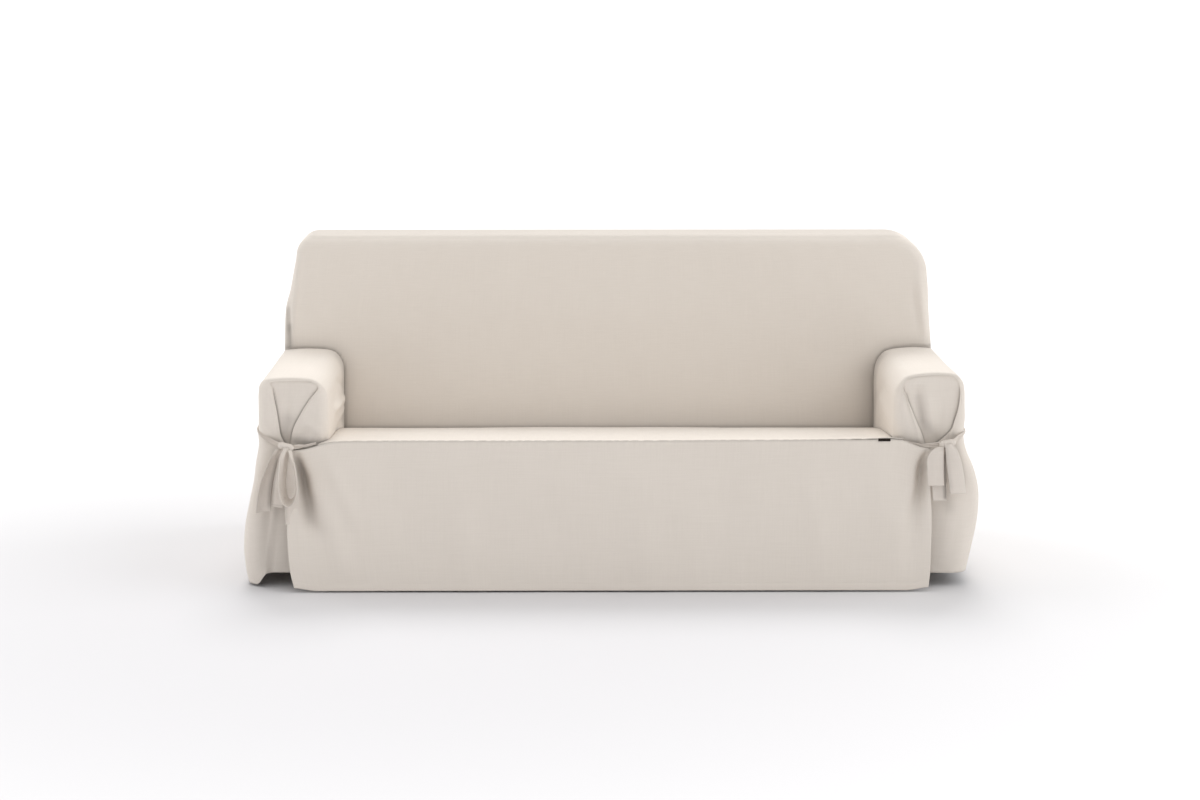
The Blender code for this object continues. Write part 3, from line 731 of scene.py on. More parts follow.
def back_point(share, rise):
    """Spreads the cloth between its hem and the outline of the back."""
    side = side_of(share)
    hem = share * side_edge(side, REAR_HEM), REAR_HEM
    top = outline_top(side, abs(share))
    foot, edge, head = (outline_side(side, part) for part in (0.0, rise, 1.0))
    point = []
    for hem_part, top_part, foot_part, edge_part, head_part in zip(hem, top, foot, edge, head):
        straight = (1 - rise) * hem_part + rise * top_part
        pull = edge_part - ((1 - rise) * foot_part + rise * head_part)
        point.append(straight + abs(share) ** 3 * pull)
    return point


def rear_place(share, rise):
    """The share is turned round, so that the grid faces the rear."""
    across, height = back_point(-share, rise)
    distance = edge_distance(across, height)
    inner = smooth_step(0.0, 0.10, distance)
    wave = inner * drape_wave(across + REAR_SHIFT, height, REAR_PITCH, REAR_WAVE)
    return across, rear_depth(height) - roll_depth(distance, REAR_ROLL) + wave, height


rear_panel = lay_panel(
    "rear_cloth", both_ways(rolled_stops(0.96, REAR_ROLL, 0.010, 5)),
    rolled_stops(0.885, REAR_ROLL, 0.010, 5), rear_place, REAR_CREASES, (0.25, 0.0020, 4.0),
    keep=lambda u, v: smooth_step(0.0, 0.05, 1 - abs(u)) * smooth_step(0.0, 0.06, 1 - v))
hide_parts("rear_panel")

# %% [markdown]
# ## Seat
# The seat is a flat strip that rises a little towards the front and turns
# down into the seam of the front skirt. The stitches draw the cloth in, so a
# row of small puckers runs along the seam, deeper in some places than others.
# It is tucked in at the back and beside both arms, and those edges are shaded.

# %% Seat
ARM_INNER, ARM_CORNER, CORNER_REACH = 0.782, 0.030, 0.028
SEAT_FRONT, SEAM_HEIGHT, SEAT_LIFT = -0.0175, 0.4152, 0.003
PUCKER, PUCKER_SHADE = 0.0016, 0.48
SEAT_PROFILE = (
    # depth, height
    (-0.0175, 0.4150),
    (-0.0120, 0.4158),
    (0.000, 0.4150),
    (0.100, 0.408),
    (0.250, 0.396),
    (0.400, 0.376),
    (0.540, 0.352),
)


def seat_height(depth, across):
    height = fair_table(SEAT_PROFILE, depth)[0]
    lift = SEAT_LIFT * smooth_step(0.5, 0.8, across) * smooth_step(0.25, 0.0, depth)
    return height + lift


def seat_half_width(depth):
    """Follows the inner walls of the arms and the turn of their front corners."""
    turn = min(ARM_CORNER, max(0.0, ARM_CORNER - depth))
    corner = ARM_CORNER - math.sqrt(ARM_CORNER ** 2 - turn ** 2)
    return ARM_INNER - SEAM + min(corner, CORNER_REACH)


def puckers(across):
    """Uneven little gathers along a stitched seam, 0 between and 1 on them."""
    strength = 0.35 + 0.65 * max(0.0, noise.noise(Vector((across * 5.0, 0.4, 0.0))) + 0.3)
    beat = math.sin(across * 210 + 3.0 * math.sin(across * 23))
    return strength * max(0.0, beat)


APRON_TOP = {
    # half width and height of the seam between the seat and the skirt
    LEFT: ((0.000, 0.4152), (0.700, 0.4152), (0.776, 0.4115), (0.836, 0.3960), (0.880, 0.3890)),
    RIGHT: ((0.000, 0.4152), (0.700, 0.4180), (0.800, 0.4180), (0.853, 0.3997), (0.894, 0.3905)),
}


def apron_top(across):
    return fair_table(APRON_TOP[side_of(across)], abs(across))[0]


SEAT_BACK = face_depth(CREASE_HEIGHT) - SEAM
SEAT_RUN = SEAT_BACK - SEAT_FRONT


def seat_place(u, v):
    depth = SEAT_FRONT + v * SEAT_RUN
    across = (2 * u - 1) * seat_half_width(depth)
    near = smooth_step(0.045, 0.004, depth - SEAT_FRONT)
    drop = apron_top(across) - SEAM_HEIGHT
    return across, depth, seat_height(depth, across) + near * (drop - PUCKER * puckers(across))


SEAT_CREASES = (
    (-0.740, 0.120, 0.406, -0.560, 0.050, 0.411, 0.018, -0.0022),
    (-0.700, 0.300, 0.392, -0.500, 0.220, 0.399, 0.030, -0.0020),
    (0.560, 0.060, 0.410, 0.750, 0.130, 0.406, 0.018, -0.0024),
    (0.520, 0.240, 0.398, 0.720, 0.340, 0.388, 0.030, 0.0020),
    (-0.150, 0.200, 0.400, 0.200, 0.260, 0.396, 0.060, -0.0018),
    (-0.350, 0.460, 0.372, 0.300, 0.470, 0.371, 0.030, 0.0020),
)
SEAT_SHADES = (
    (-0.780, SEAT_BACK, 0.352, 0.780, SEAT_BACK, 0.352, 0.030, 0.40),
    (-0.780, 0.020, 0.414, -0.780, 0.530, 0.354, 0.020, 0.25),
    (0.780, 0.020, 0.416, 0.780, 0.530, 0.354, 0.020, 0.25),
)
seat = lay_panel(
    "seat_cloth", even_stops(1.57, 0.0065), tight_stops(0.55, 0.02, 0.009, 5), seat_place,
    SEAT_CREASES, (0.20, 0.0014, 5.0),
    keep=lambda u, v: smooth_step(0.0, 0.04, v) * smooth_step(0.0, 0.03, 1 - v),
    shade=lambda u, v, *spot: PUCKER_SHADE * smooth_step(0.024, 0.010, v), lines=SEAT_SHADES)
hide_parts("seat_panel")

# %% [markdown]
# ## Front skirt
# The front skirt is sewn to the seat and hangs to the floor. The two bows pull
# it together at its sides, so a deep soft fold falls from each knot and dies
# out towards the hem. Between them the cloth only leans and undulates. The
# hem is the same cloth turned up and stitched, so it stands a little prouder.
# The columns of the grid are closer near its sides, where the folds are.

# %% Front skirt
APRON_DEPTH, APRON_FLARE, APRON_SWAY = -0.020, 0.050, 0.004
APRON_HEM, SIDE_LIFT = 0.004, 0.008
HEM_TURN, HEM_PROUD, STITCH = 0.020, 0.0006, 0.0003
GATHER = 0.0022
APRON_FOLDS = (
    (
        # height, across, half width, depth
        (0.000, -0.800, 0.034, 0.000),
        (0.090, -0.800, 0.034, 0.001),
        (0.150, -0.814, 0.030, 0.004),
        (0.196, -0.829, 0.021, 0.017),
        (0.243, -0.837, 0.018, 0.030),
        (0.283, -0.845, 0.015, 0.041),
        (0.321, -0.852, 0.014, 0.042),
        (0.351, -0.861, 0.012, 0.027),
        (0.392, -0.876, 0.012, 0.000),
    ),
    (
        (0.000, 0.832, 0.030, 0.000),
        (0.100, 0.832, 0.030, 0.003),
        (0.165, 0.838, 0.026, 0.006),
        (0.234, 0.846, 0.019, 0.017),
        (0.280, 0.855, 0.015, 0.029),
        (0.320, 0.859, 0.013, 0.034),
        (0.355, 0.863, 0.012, 0.024),
        (0.393, 0.880, 0.012, 0.000),
    ),
)
APRON_EDGES = (
    # height, left, right
    (0.000, 0.872, 0.878),
    (0.050, 0.885, 0.884),
    (0.110, 0.892, 0.886),
    (0.200, 0.895, 0.888),
    (0.300, 0.894, 0.884),
    (0.350, 0.891, 0.885),
    (0.389, 0.879, 0.892),
)


def apron_edge(side, height):
    return fair_table(APRON_EDGES, height)[COLUMN[side]]


def fold_depth(rows, across, height):
    middle, half_width, depth = fair_table(rows, height)
    return depth * math.exp(-((across - middle) / half_width) ** 2)


def apron_depth(across, height):
    fall = min(1.0, max(0.0, 1 - height / SEAM_HEIGHT))
    depth = APRON_DEPTH - APRON_FLARE * fall ** 1.3
    depth -= APRON_SWAY * math.sin(math.pi * fall) * math.cos(7 * across)
    return depth + sum(fold_depth(rows, across, height) for rows in APRON_FOLDS)


def apron_place(u, v):
    share = 2 * u - 1
    side = side_of(share)
    hem = APRON_HEM + SIDE_LIFT * smooth_step(0.93, 1.0, abs(share))
    top = apron_top(share * apron_edge(side, 1.0))
    height = hem + v * (top - hem)
    across = share * apron_edge(side, height)
    depth = apron_depth(across, height)
    above_hem = height - hem
    proud = HEM_PROUD * smooth_step(HEM_TURN, HEM_TURN - 0.008, above_hem)
    stitch = STITCH * math.exp(-((above_hem - HEM_TURN) / 0.002) ** 2)
    near = smooth_step(0.030, 0.002, top - height) * smooth_step(0.80, 0.74, abs(across))
    return across, depth - proud + stitch + GATHER * near * puckers(across), height


APRON_CREASES = (
    (-0.780, -0.030, 0.370, -0.700, -0.045, 0.180, 0.020, 0.0045),
    (-0.790, -0.045, 0.250, -0.740, -0.058, 0.060, 0.026, 0.0060),
    (-0.620, -0.030, 0.390, -0.560, -0.050, 0.120, 0.050, -0.0040),
    (-0.420, -0.035, 0.330, -0.400, -0.056, 0.020, 0.040, 0.0045),
    (-0.200, -0.030, 0.360, -0.150, -0.055, 0.060, 0.060, -0.0030),
    (0.080, -0.040, 0.280, 0.100, -0.058, 0.010, 0.045, 0.0045),
    (0.330, -0.030, 0.380, 0.300, -0.055, 0.080, 0.055, -0.0040),
    (0.560, -0.035, 0.330, 0.590, -0.056, 0.020, 0.040, 0.0045),
    (0.740, -0.030, 0.380, 0.760, -0.052, 0.100, 0.030, 0.0040),
    (0.790, -0.040, 0.300, 0.800, -0.056, 0.060, 0.024, 0.0040),
)
FOLD_SHADES, FOLD_SPREAD, SEAM_SHADE = (0.55, 0.30), 1.25, 0.25


def apron_shade(u, v, across, depth, height):
    """Darkest in the bottom of the two deep folds and just under the knots."""
    total = 0.0
    for rows, strength in zip(APRON_FOLDS, FOLD_SHADES):
        middle, half_width, fold = fair_table(rows, height)
        away = (across - middle) / (FOLD_SPREAD * half_width)
        total += strength * smooth_step(0.000, 0.030, fold) * math.exp(-away ** 2)
    seam = SEAM_SHADE * smooth_step(0.0035, 0.0010, apron_top(across) - height)
    return min(1.0, total + seam)


SKIRT_STOPS = spaced(((0.0, 0.875, 110), (0.875, 1.0, 34)))
apron = lay_panel(
    "front_skirt_cloth", [0.5 + stop / 2 for stop in both_ways(SKIRT_STOPS)],
    tight_stops(0.41, 0.026, 0.0065, 9), apron_place, APRON_CREASES, (0.16, 0.0016, 6.0),
    keep=lambda u, v: smooth_step(0.0, 0.10, 1 - v), shade=apron_shade)
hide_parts("front_apron")

# %% [markdown]
# ## Arm covers
# One piece of cloth starts at the seat, goes up the inner wall, over the top
# of the arm and down outside almost to the floor. In front it turns round the
# corner of the arm. Its two folded edges leave a V open and meet at the knot,
# where the tie draws them in. Below the knot the outer part bells out again.
# A table has one row for each line that runs from the front edge to the back.
# At its rear each line ends on the rolled edge of the back, where it is sewn.

# %% Arm covers
ARM_REAR_DROP = {LEFT: 0.002, RIGHT: 0.013}
ARM_LINES = {
    LEFT: (
        # wall across, wall height, edge across, edge height, front depth
        (0.782, 0.388, 0.890, 0.388, 0.011),
        (0.782, 0.440, 0.879, 0.441, 0.006),
        (0.782, 0.480, 0.862, 0.478, 0.003),
        (0.782, 0.520, 0.836, 0.521, 0.001),
        (0.785, 0.546, 0.8205, 0.541, 0.000),
        (0.796, 0.568, 0.8060, 0.560, 0.000),
        (0.812, 0.581, 0.8150, 0.574, 0.000),
        (0.838, 0.587, 0.838, 0.579, 0.000),
        (0.888, 0.589, 0.888, 0.580, 0.000),
        (0.938, 0.586, 0.931, 0.578, 0.000),
        (0.957, 0.580, 0.934, 0.571, 0.000),
        (0.970, 0.566, 0.931, 0.556, 0.000),
        (0.974, 0.540, 0.928, 0.532, 0.000),
        (0.975, 0.500, 0.922, 0.497, 0.001),
        (0.976, 0.460, 0.917, 0.458, 0.004),
        (0.978, 0.428, 0.912, 0.425, 0.008),
        (0.977, 0.396, 0.897, 0.396, 0.010),
        (0.984, 0.352, 0.874, 0.352, 0.006),
        (0.991, 0.296, 0.870, 0.300, 0.002),
        (1.006, 0.236, 0.870, 0.242, 0.000),
        (1.020, 0.172, 0.870, 0.180, -0.002),
        (1.025, 0.102, 0.872, 0.113, -0.003),
        (1.021, 0.048, 0.874, 0.070, -0.003),
        (1.014, 0.006, 0.876, 0.038, -0.003),
    ),
    RIGHT: (
        (0.784, 0.392, 0.876, 0.388, 0.011),
        (0.784, 0.440, 0.862, 0.432, 0.006),
        (0.784, 0.480, 0.849, 0.461, 0.003),
        (0.785, 0.515, 0.833, 0.499, 0.001),
        (0.788, 0.545, 0.819, 0.532, 0.000),
        (0.797, 0.570, 0.807, 0.560, 0.000),
        (0.815, 0.589, 0.818, 0.580, 0.000),
        (0.846, 0.598, 0.846, 0.590, 0.000),
        (0.900, 0.602, 0.900, 0.594, 0.000),
        (0.945, 0.599, 0.944, 0.591, 0.000),
        (0.963, 0.590, 0.956, 0.582, 0.000),
        (0.975, 0.573, 0.964, 0.565, 0.000),
        (0.980, 0.548, 0.9665, 0.543, 0.000),
        (0.982, 0.506, 0.963, 0.506, 0.001),
        (0.985, 0.470, 0.9525, 0.468, 0.004),
        (0.983, 0.440, 0.941, 0.437, 0.008),
        (0.984, 0.408, 0.905, 0.402, 0.010),
        (0.993, 0.375, 0.873, 0.372, 0.006),
        (1.013, 0.330, 0.868, 0.330, 0.002),
        (1.026, 0.280, 0.868, 0.282, 0.000),
        (1.029, 0.230, 0.868, 0.235, -0.002),
        (1.025, 0.170, 0.868, 0.172, -0.004),
        (1.013, 0.105, 0.870, 0.106, -0.004),
        (0.998, 0.036, 0.874, 0.038, -0.003),
    ),
}
RECESS, DRAPE_PITCH, DRAPE_REACH = 0.014, 0.21, 0.010
WALL_TUCK, DRAPE_CORNER = 0.052, 0.025
INSIDE, OUTSIDE, DRAPE = 0.80, 0.90, 0.95
FRONT_END, CORNER_END = 0.2, 0.5
CURL, LIP = 0.0032, 0.0006


def drape_recess(side, across, height):
    """The front of the left drape hangs back behind a fold that leans outwards."""
    if side == RIGHT:
        return 0.0
    fold = 0.970 - 0.14 * height
    return RECESS * smooth_step(0.0, 0.022, fold - across) * smooth_step(0.40, 0.28, height)


def hem_lift(side, share, height):
    """On the left the hem steps up at that fold, on the right it is straight."""
    if side == RIGHT:
        return share
    return share + (smooth_step(0.20, 0.42, share) - share) * smooth_step(0.15, 0.05, height)


def edge_curl(share, height):
    """The folded front edge rounds back onto the panel behind it."""
    reach = CURL * smooth_step(0.30, 0.36, height) * smooth_step(0.590, 0.560, height) + LIP
    swell = LIP * math.exp(-((share - 0.06) / 0.03) ** 2)
    return reach * (1 - smooth_step(0.0, 0.05, share)) - swell


def rear_end(side, wall_x, wall_z, along):
    """Half width and height at which a line ends on the rolled edge of the back."""
    rear_z = wall_z - ARM_REAR_DROP[side] * smooth_step(0.45, 0.58, wall_z)
    if wall_x < INSIDE and wall_z < 0.48:
        rear_z -= WALL_TUCK * smooth_step(0.48, 0.405, wall_z)
    if wall_x > DRAPE and wall_z < 0.10:
        rear_z += along * (SIDE_HEM - wall_z) * smooth_step(0.10, 0.016, wall_z)
    if wall_x <= OUTSIDE:
        return wall_x, rear_z
    edge = side_edge(side, rear_z)
    return edge if rear_z <= ARM_SEAM + 0.004 else min(wall_x, edge), rear_z


def wall_point(side, wall_x, wall_z, start, along):
    """A point between the corner of the arm, along 0, and the back, along 1."""
    rear_x, rear_z = rear_end(side, wall_x, wall_z, along)
    rear_y = back_depth(side * rear_x, rear_z) - SEAM
    across = wall_x + (rear_x - wall_x) * smooth_step(0, 1, along)
    depth = start + (rear_y - start) * along
    if wall_x > DRAPE:
        wave = drape_wave(depth + 0.04, wall_z, DRAPE_PITCH, DRAPE_REACH)
        across += math.sin(math.pi * along) * wave
    return side * across, depth, wall_z + (rear_z - wall_z) * along


def arm_point(side, line, share):
    """A point of the arm cover: share 0 front edge, 0.2 to 0.5 corner, 1 back."""
    wall_x, wall_z, edge_x, edge_z, front = curve_point(ARM_LINES[side], line)
    flap = Vector((edge_x - wall_x, edge_z - wall_z))
    reach = flap.length
    flap.normalize()
    radius = min(ARM_CORNER + DRAPE_CORNER * smooth_step(0.40, 0.15, wall_z), 0.9 * reach)
    if share > CORNER_END:
        along = (share - CORNER_END) / (1 - CORNER_END)
        return wall_point(side, wall_x, wall_z, front + radius, along)
    turn = math.radians(90) * max(0.0, share - FRONT_END) / (CORNER_END - FRONT_END)
    away = radius * (1 - math.sin(turn))
    if share <= FRONT_END:
        away = reach + (radius - reach) * share / FRONT_END
    across = wall_x + flap.x * away
    height = wall_z + flap.y * reach * hem_lift(side, away / reach, wall_z)
    if share <= FRONT_END:
        back = drape_recess(side, across, height) + edge_curl(share, wall_z)
    else:
        back = radius * (1 - math.cos(turn))
    return side * across, front + back, height


ARM_SHARES = spaced(((0.0, 0.02, 5), (0.02, FRONT_END, 16), (FRONT_END, CORNER_END, 10),
                     (CORNER_END, 1.0, 76)))


def arm_place(side):
    """The grid runs the other way on the left, so that it faces out."""
    if side == RIGHT:
        return lambda u, v: arm_point(side, u, v)
    return lambda u, v: arm_point(side, 1 - u, v)


ARM_CREASES = {
    LEFT: (
        (-0.775, 0.120, 0.440, -0.785, 0.420, 0.500, 0.026, 0.0040),
        (-0.780, 0.180, 0.470, -0.780, 0.560, 0.442, 0.012, 0.0110),
        (-0.780, 0.300, 0.415, -0.780, 0.560, 0.421, 0.010, 0.0060),
        (-0.780, 0.250, 0.395, -0.780, 0.560, 0.383, 0.011, -0.0060),
        (-0.782, 0.300, 0.530, -0.782, 0.540, 0.480, 0.014, -0.0030),
        (-0.830, 0.006, 0.440, -0.880, 0.008, 0.410, 0.014, -0.0040),
        (-0.800, 0.010, 0.430, -0.850, 0.002, 0.470, 0.012, 0.0025),
        (-0.975, 0.080, 0.520, -0.985, 0.120, 0.300, 0.030, -0.0030),
        (-0.965, 0.010, 0.470, -0.940, 0.002, 0.430, 0.010, -0.0030),
        (-0.930, -0.002, 0.330, -0.960, 0.000, 0.060, 0.018, -0.0110),
        (-0.985, 0.004, 0.330, -1.000, 0.012, 0.060, 0.022, 0.0100),
        (-1.010, 0.160, 0.380, -1.020, 0.180, 0.040, 0.026, -0.0060),
        (-1.010, 0.330, 0.400, -1.010, 0.340, 0.050, 0.030, 0.0060),
        (-0.900, 0.200, 0.588, -0.860, 0.450, 0.588, 0.040, -0.0020),
    ),
    RIGHT: (
        (0.776, 0.100, 0.450, 0.784, 0.420, 0.470, 0.026, 0.0035),
        (0.780, 0.250, 0.520, 0.784, 0.520, 0.440, 0.020, -0.0030),
        (0.812, 0.004, 0.540, 0.850, 0.006, 0.430, 0.009, -0.0035),
        (0.826, 0.000, 0.540, 0.868, 0.006, 0.430, 0.007, 0.0020),
        (0.975, 0.060, 0.500, 0.990, 0.100, 0.300, 0.030, -0.0030),
        (0.955, -0.002, 0.300, 0.930, -0.004, 0.080, 0.030, 0.0050),
        (0.990, 0.002, 0.340, 1.000, 0.010, 0.120, 0.020, -0.0030),
        (1.020, 0.160, 0.380, 1.020, 0.180, 0.060, 0.026, -0.0060),
        (1.015, 0.330, 0.400, 1.010, 0.340, 0.060, 0.030, 0.0060),
        (0.880, 0.200, 0.600, 0.920, 0.450, 0.592, 0.040, -0.0020),
    ),
}
ARM_SHADES = {
    LEFT: (
        # both ends, half width, strength: under the band, beside the knot
        (-0.780, 0.020, 0.406, -0.862, 0.004, 0.404, 0.012, 0.50),
        (-0.850, 0.004, 0.408, -0.885, 0.006, 0.412, 0.014, 0.60),
        (-0.945, 0.006, 0.414, -0.915, 0.008, 0.408, 0.010, 0.45),
        (-0.930, 0.000, 0.380, -0.915, 0.000, 0.330, 0.014, 0.35),
    ),
    RIGHT: (
        (0.790, 0.020, 0.408, 0.880, 0.006, 0.402, 0.010, 0.40),
        (0.950, 0.006, 0.424, 0.935, 0.008, 0.416, 0.010, 0.45),
        (0.963, 0.000, 0.395, 0.975, 0.000, 0.300, 0.010, 0.30),
        (0.925, 0.000, 0.400, 0.928, 0.000, 0.300, 0.009, 0.75),
        (0.935, -0.004, 0.262, 0.940, -0.004, 0.225, 0.016, 0.22),
    ),
}
TUCK_SHADE, RIM_SHADE = 0.35, 0.12


def cover_shade(u, v, across, depth, height):
    """The inner wall darkens towards the back, and the top a little at its front edge."""
    tuck = smooth_step(0.44, 0.53, depth) * smooth_step(0.60, 0.56, height)
    tuck *= smooth_step(0.85, 0.80, abs(across))
    rim = smooth_step(0.030, 0.004, depth) * smooth_step(0.578, 0.588, height)
    return max(TUCK_SHADE * tuck, RIM_SHADE * rim)


def keep_cover(u, v):
    """0 at the front edge, at the back and at the two hems."""
    front_and_back = smooth_step(0.0, 0.1, v) * smooth_step(0.0, 0.03, 1 - v)
    return front_and_back * smooth_step(0.0, 0.03, u * (1 - u))


for side, word in SIDES.items():
    cover = lay_panel(
        f"arm_cloth_{word}", even_stops(1.0, 0.0064), ARM_SHARES, arm_place(side), ARM_CREASES[side],
        (0.14, 0.0016, 7.0 + side), keep=keep_cover, shade=cover_shade, lines=ARM_SHADES[side])
    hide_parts(f"arm_cover_{word}")

# %% [markdown]
# ## Front pieces of the arms
# Behind the V a separate piece closes the front of each arm. At its top it
# lies flush under the edge of the cover. Lower down it sinks in, and on the
# right arm a long soft trough runs down to the knot.

# %% Front pieces of the arms
ARM_FRONTS = {
    LEFT: (
        # height, inner edge, outer edge, depth
        (0.385, 0.868, 0.925, 0.018),
        (0.410, 0.868, 0.928, 0.018),
        (0.440, 0.868, 0.932, 0.014),
        (0.480, 0.848, 0.944, 0.009),
        (0.520, 0.822, 0.953, 0.0055),
        (0.545, 0.806, 0.949, 0.0030),
        (0.565, 0.804, 0.947, 0.0012),
        (0.575, 0.812, 0.943, 0.0008),
        (0.5835, 0.828, 0.935, 0.0012),
    ),
    RIGHT: (
        (0.390, 0.868, 0.945, 0.017),
        (0.420, 0.860, 0.954, 0.015),
        (0.460, 0.842, 0.966, 0.010),
        (0.500, 0.824, 0.971, 0.0065),
        (0.540, 0.808, 0.973, 0.0035),
        (0.562, 0.804, 0.970, 0.0016),
        (0.578, 0.811, 0.964, 0.0009),
        (0.590, 0.825, 0.955, 0.0008),
        (0.597, 0.846, 0.945, 0.0012),
    ),
}
FRONT_CREASES = {
    LEFT: (
        (-0.890, 0.004, 0.560, -0.898, 0.014, 0.430, 0.014, -0.0030),
        (-0.872, 0.004, 0.530, -0.890, 0.014, 0.430, 0.009, 0.0020),
    ),
    RIGHT: (
        (0.848, 0.003, 0.555, 0.868, 0.012, 0.430, 0.011, -0.0085),
        (0.872, 0.003, 0.560, 0.895, 0.012, 0.430, 0.014, 0.0050),
        (0.925, 0.003, 0.540, 0.915, 0.012, 0.430, 0.014, -0.0030),
    ),
}
FRONT_SHADES = {
    LEFT: ((-0.890, 0.010, 0.470, -0.902, 0.014, 0.420, 0.020, 0.30),),
    RIGHT: (
        (0.850, 0.003, 0.530, 0.864, 0.012, 0.465, 0.012, 0.30),
        (0.880, 0.010, 0.450, 0.905, 0.014, 0.420, 0.018, 0.25),
    ),
}
OVERLAP_SHADE, OVERLAP_REACH, FRONT_SINK = 0.55, 0.0055, 0.004


def flap_edge(side, height):
    """Half widths where the folded edges of the cover lie at a height: inner and outer."""
    rows = [(row[3], row[2]) for row in ARM_LINES[side] if row[1] > 0.38]
    peak = max(range(len(rows)), key=lambda index: rows[index][0])
    inner, outer = rows[:peak + 1], rows[:peak - 1:-1]
    return fair_table(inner, height)[0], fair_table(outer, height)[0]


def arm_front_shade(side):
    """The front piece is darkest just inside the folded edges that overlap it."""
    def shade(u, v, across, depth, height):
        inner, outer = flap_edge(side, height)
        near = min(abs(across) - inner, outer - abs(across))
        low = smooth_step(0.572, 0.552, height)
        return OVERLAP_SHADE * low * smooth_step(OVERLAP_REACH, 0.0005, near)
    return shade


def arm_front_place(side):
    def place(u, v):
        height, inner, outer, depth = curve_point(ARM_FRONTS[side], v)
        share = u if side == RIGHT else 1 - u
        sunk = FRONT_SINK * smooth_step(0.575, 0.540, height)
        return side * (inner + share * (outer - inner)), depth + sunk, height
    return place


for side, word in SIDES.items():
    front = lay_panel(
        f"arm_front_cloth_{word}", even_stops(0.15, 0.0045), even_stops(0.21, 0.0045),
        arm_front_place(side), FRONT_CREASES[side], None,
        shade=arm_front_shade(side), lines=FRONT_SHADES[side])
    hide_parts(f"arm_front_{word}")

# %% [markdown]
# ## Ties
# Each tie is a flat double strip with a stitched hem at its end. A strip could
# be a curve with a width, but its face has to turn in a controlled way, so
# each one is a table of its middle line with a width and a turn at each row.
# A slight hollow across the strip keeps it from looking like card.

# %% Flat ribbons of the bows
RIBBON_CLOTH, TIE_WIDTH, TIE_STEP = 0.0016, 0.045, 0.003
TIE_HEM, HEM_STEP, TIE_PLEAT = 0.009, 0.0007, 0.0016
RIBBONS = {
    "tie_left_front_loop": (
        # across, depth, height, width, turn and tilt in degrees
        (-0.8925, -0.0446, 0.4010, 0.016, 30, 0),
        (-0.8975, -0.0560, 0.3800, 0.030, 52, 0),
        (-0.9001, -0.0620, 0.3560, 0.040, 62, 0),
        (-0.9028, -0.0670, 0.3223, 0.042, 66, 0),
        (-0.9030, -0.0690, 0.2863, 0.042, 68, 6),
        (-0.8970, -0.0700, 0.2627, 0.042, 74, 16),
        (-0.8849, -0.0700, 0.2523, 0.042, 84, 20),
        (-0.8715, -0.0700, 0.2612, 0.042, 94, 14),
        (-0.8644, -0.0700, 0.2865, 0.042, 100, 5),
        (-0.8652, -0.0680, 0.3169, 0.042, 100, 0),
        (-0.8710, -0.0620, 0.3605, 0.038, 98, 0),
        (-0.8830, -0.0461, 0.3960, 0.014, 60, 0),
    ),
    "tie_left_outer_tail": (
        (-0.9155, -0.0351, 0.3966, 0.014, 34, 0),
        (-0.9265, -0.0372, 0.3720, 0.028, 40, 0),
        (-0.9394, -0.0372, 0.3350, 0.038, 42, 0),
        (-0.9502, -0.0372, 0.2990, 0.044, 40, 0),
        (-0.9564, -0.0362, 0.2650, 0.046, 38, 0),
        (-0.9600, -0.0352, 0.2200, 0.046, 32, 0),
    ),
    "tie_left_middle_tail": (
        (-0.9069, -0.0267, 0.3934, 0.012, -20, 0),
        (-0.9123, -0.0218, 0.3583, 0.022, -28, 0),
        (-0.9180, -0.0198, 0.3073, 0.032, -32, 0),
        (-0.9208, -0.0208, 0.2680, 0.038, -32, 0),
        (-0.9227, -0.0218, 0.2315, 0.042, -30, 0),
    ),
    "tie_left_long_tail": (
        (-0.8888, -0.0325, 0.3903, 0.012, 10, 0),
        (-0.8843, -0.0338, 0.3606, 0.026, 14, 0),
        (-0.8817, -0.0378, 0.3165, 0.036, 16, 0),
        (-0.8802, -0.0418, 0.2666, 0.040, 16, 0),
        (-0.8798, -0.0438, 0.2276, 0.041, 14, 0),
        (-0.8785, -0.0458, 0.1880, 0.040, 12, 0),
    ),
    "tie_right_inner_tail": (
        (0.9080, -0.0471, 0.4030, 0.020, 0, 0),
        (0.8990, -0.0521, 0.3905, 0.036, 2, 0),
        (0.8940, -0.0520, 0.3688, 0.046, 3, 0),
        (0.8950, -0.0500, 0.3389, 0.046, 4, 0),
        (0.8974, -0.0481, 0.2945, 0.046, 4, 0),
    ),
    "tie_right_outer_tail": (
        (0.9308, -0.0492, 0.4112, 0.024, 6, 0),
        (0.9370, -0.0525, 0.3955, 0.032, 8, 0),
        (0.9428, -0.0529, 0.3731, 0.040, 8, 0),
        (0.9500, -0.0500, 0.3333, 0.045, 10, 0),
        (0.9594, -0.0450, 0.2712, 0.046, 14, 0),
    ),
    "tie_right_back_tail": (
        (0.9150, -0.0360, 0.3980, 0.016, -6, 0),
        (0.9085, -0.0410, 0.3653, 0.032, -8, 0),
        (0.9067, -0.0400, 0.3088, 0.038, -6, 0),
        (0.9085, -0.0380, 0.2774, 0.038, -4, 0),
        (0.9104, -0.0370, 0.2500, 0.037, -4, 0),
    ),
}
HOLLOW = {
    # how far the middle of the strip bows away from the viewer
    "tie_left_front_loop": 0.0012,
    "tie_left_outer_tail": 0.0060,
    "tie_left_middle_tail": -0.0020,
    "tie_left_long_tail": 0.0020,
    "tie_right_inner_tail": -0.0025,
    "tie_right_outer_tail": -0.0030,
    "tie_right_back_tail": 0.0020,
}


def row_lengths(rows):
    spots = [Vector(curve_point(rows, step / 60)[:3]) for step in range(61)]
    return sum((b - a).length for a, b in zip(spots, spots[1:]))


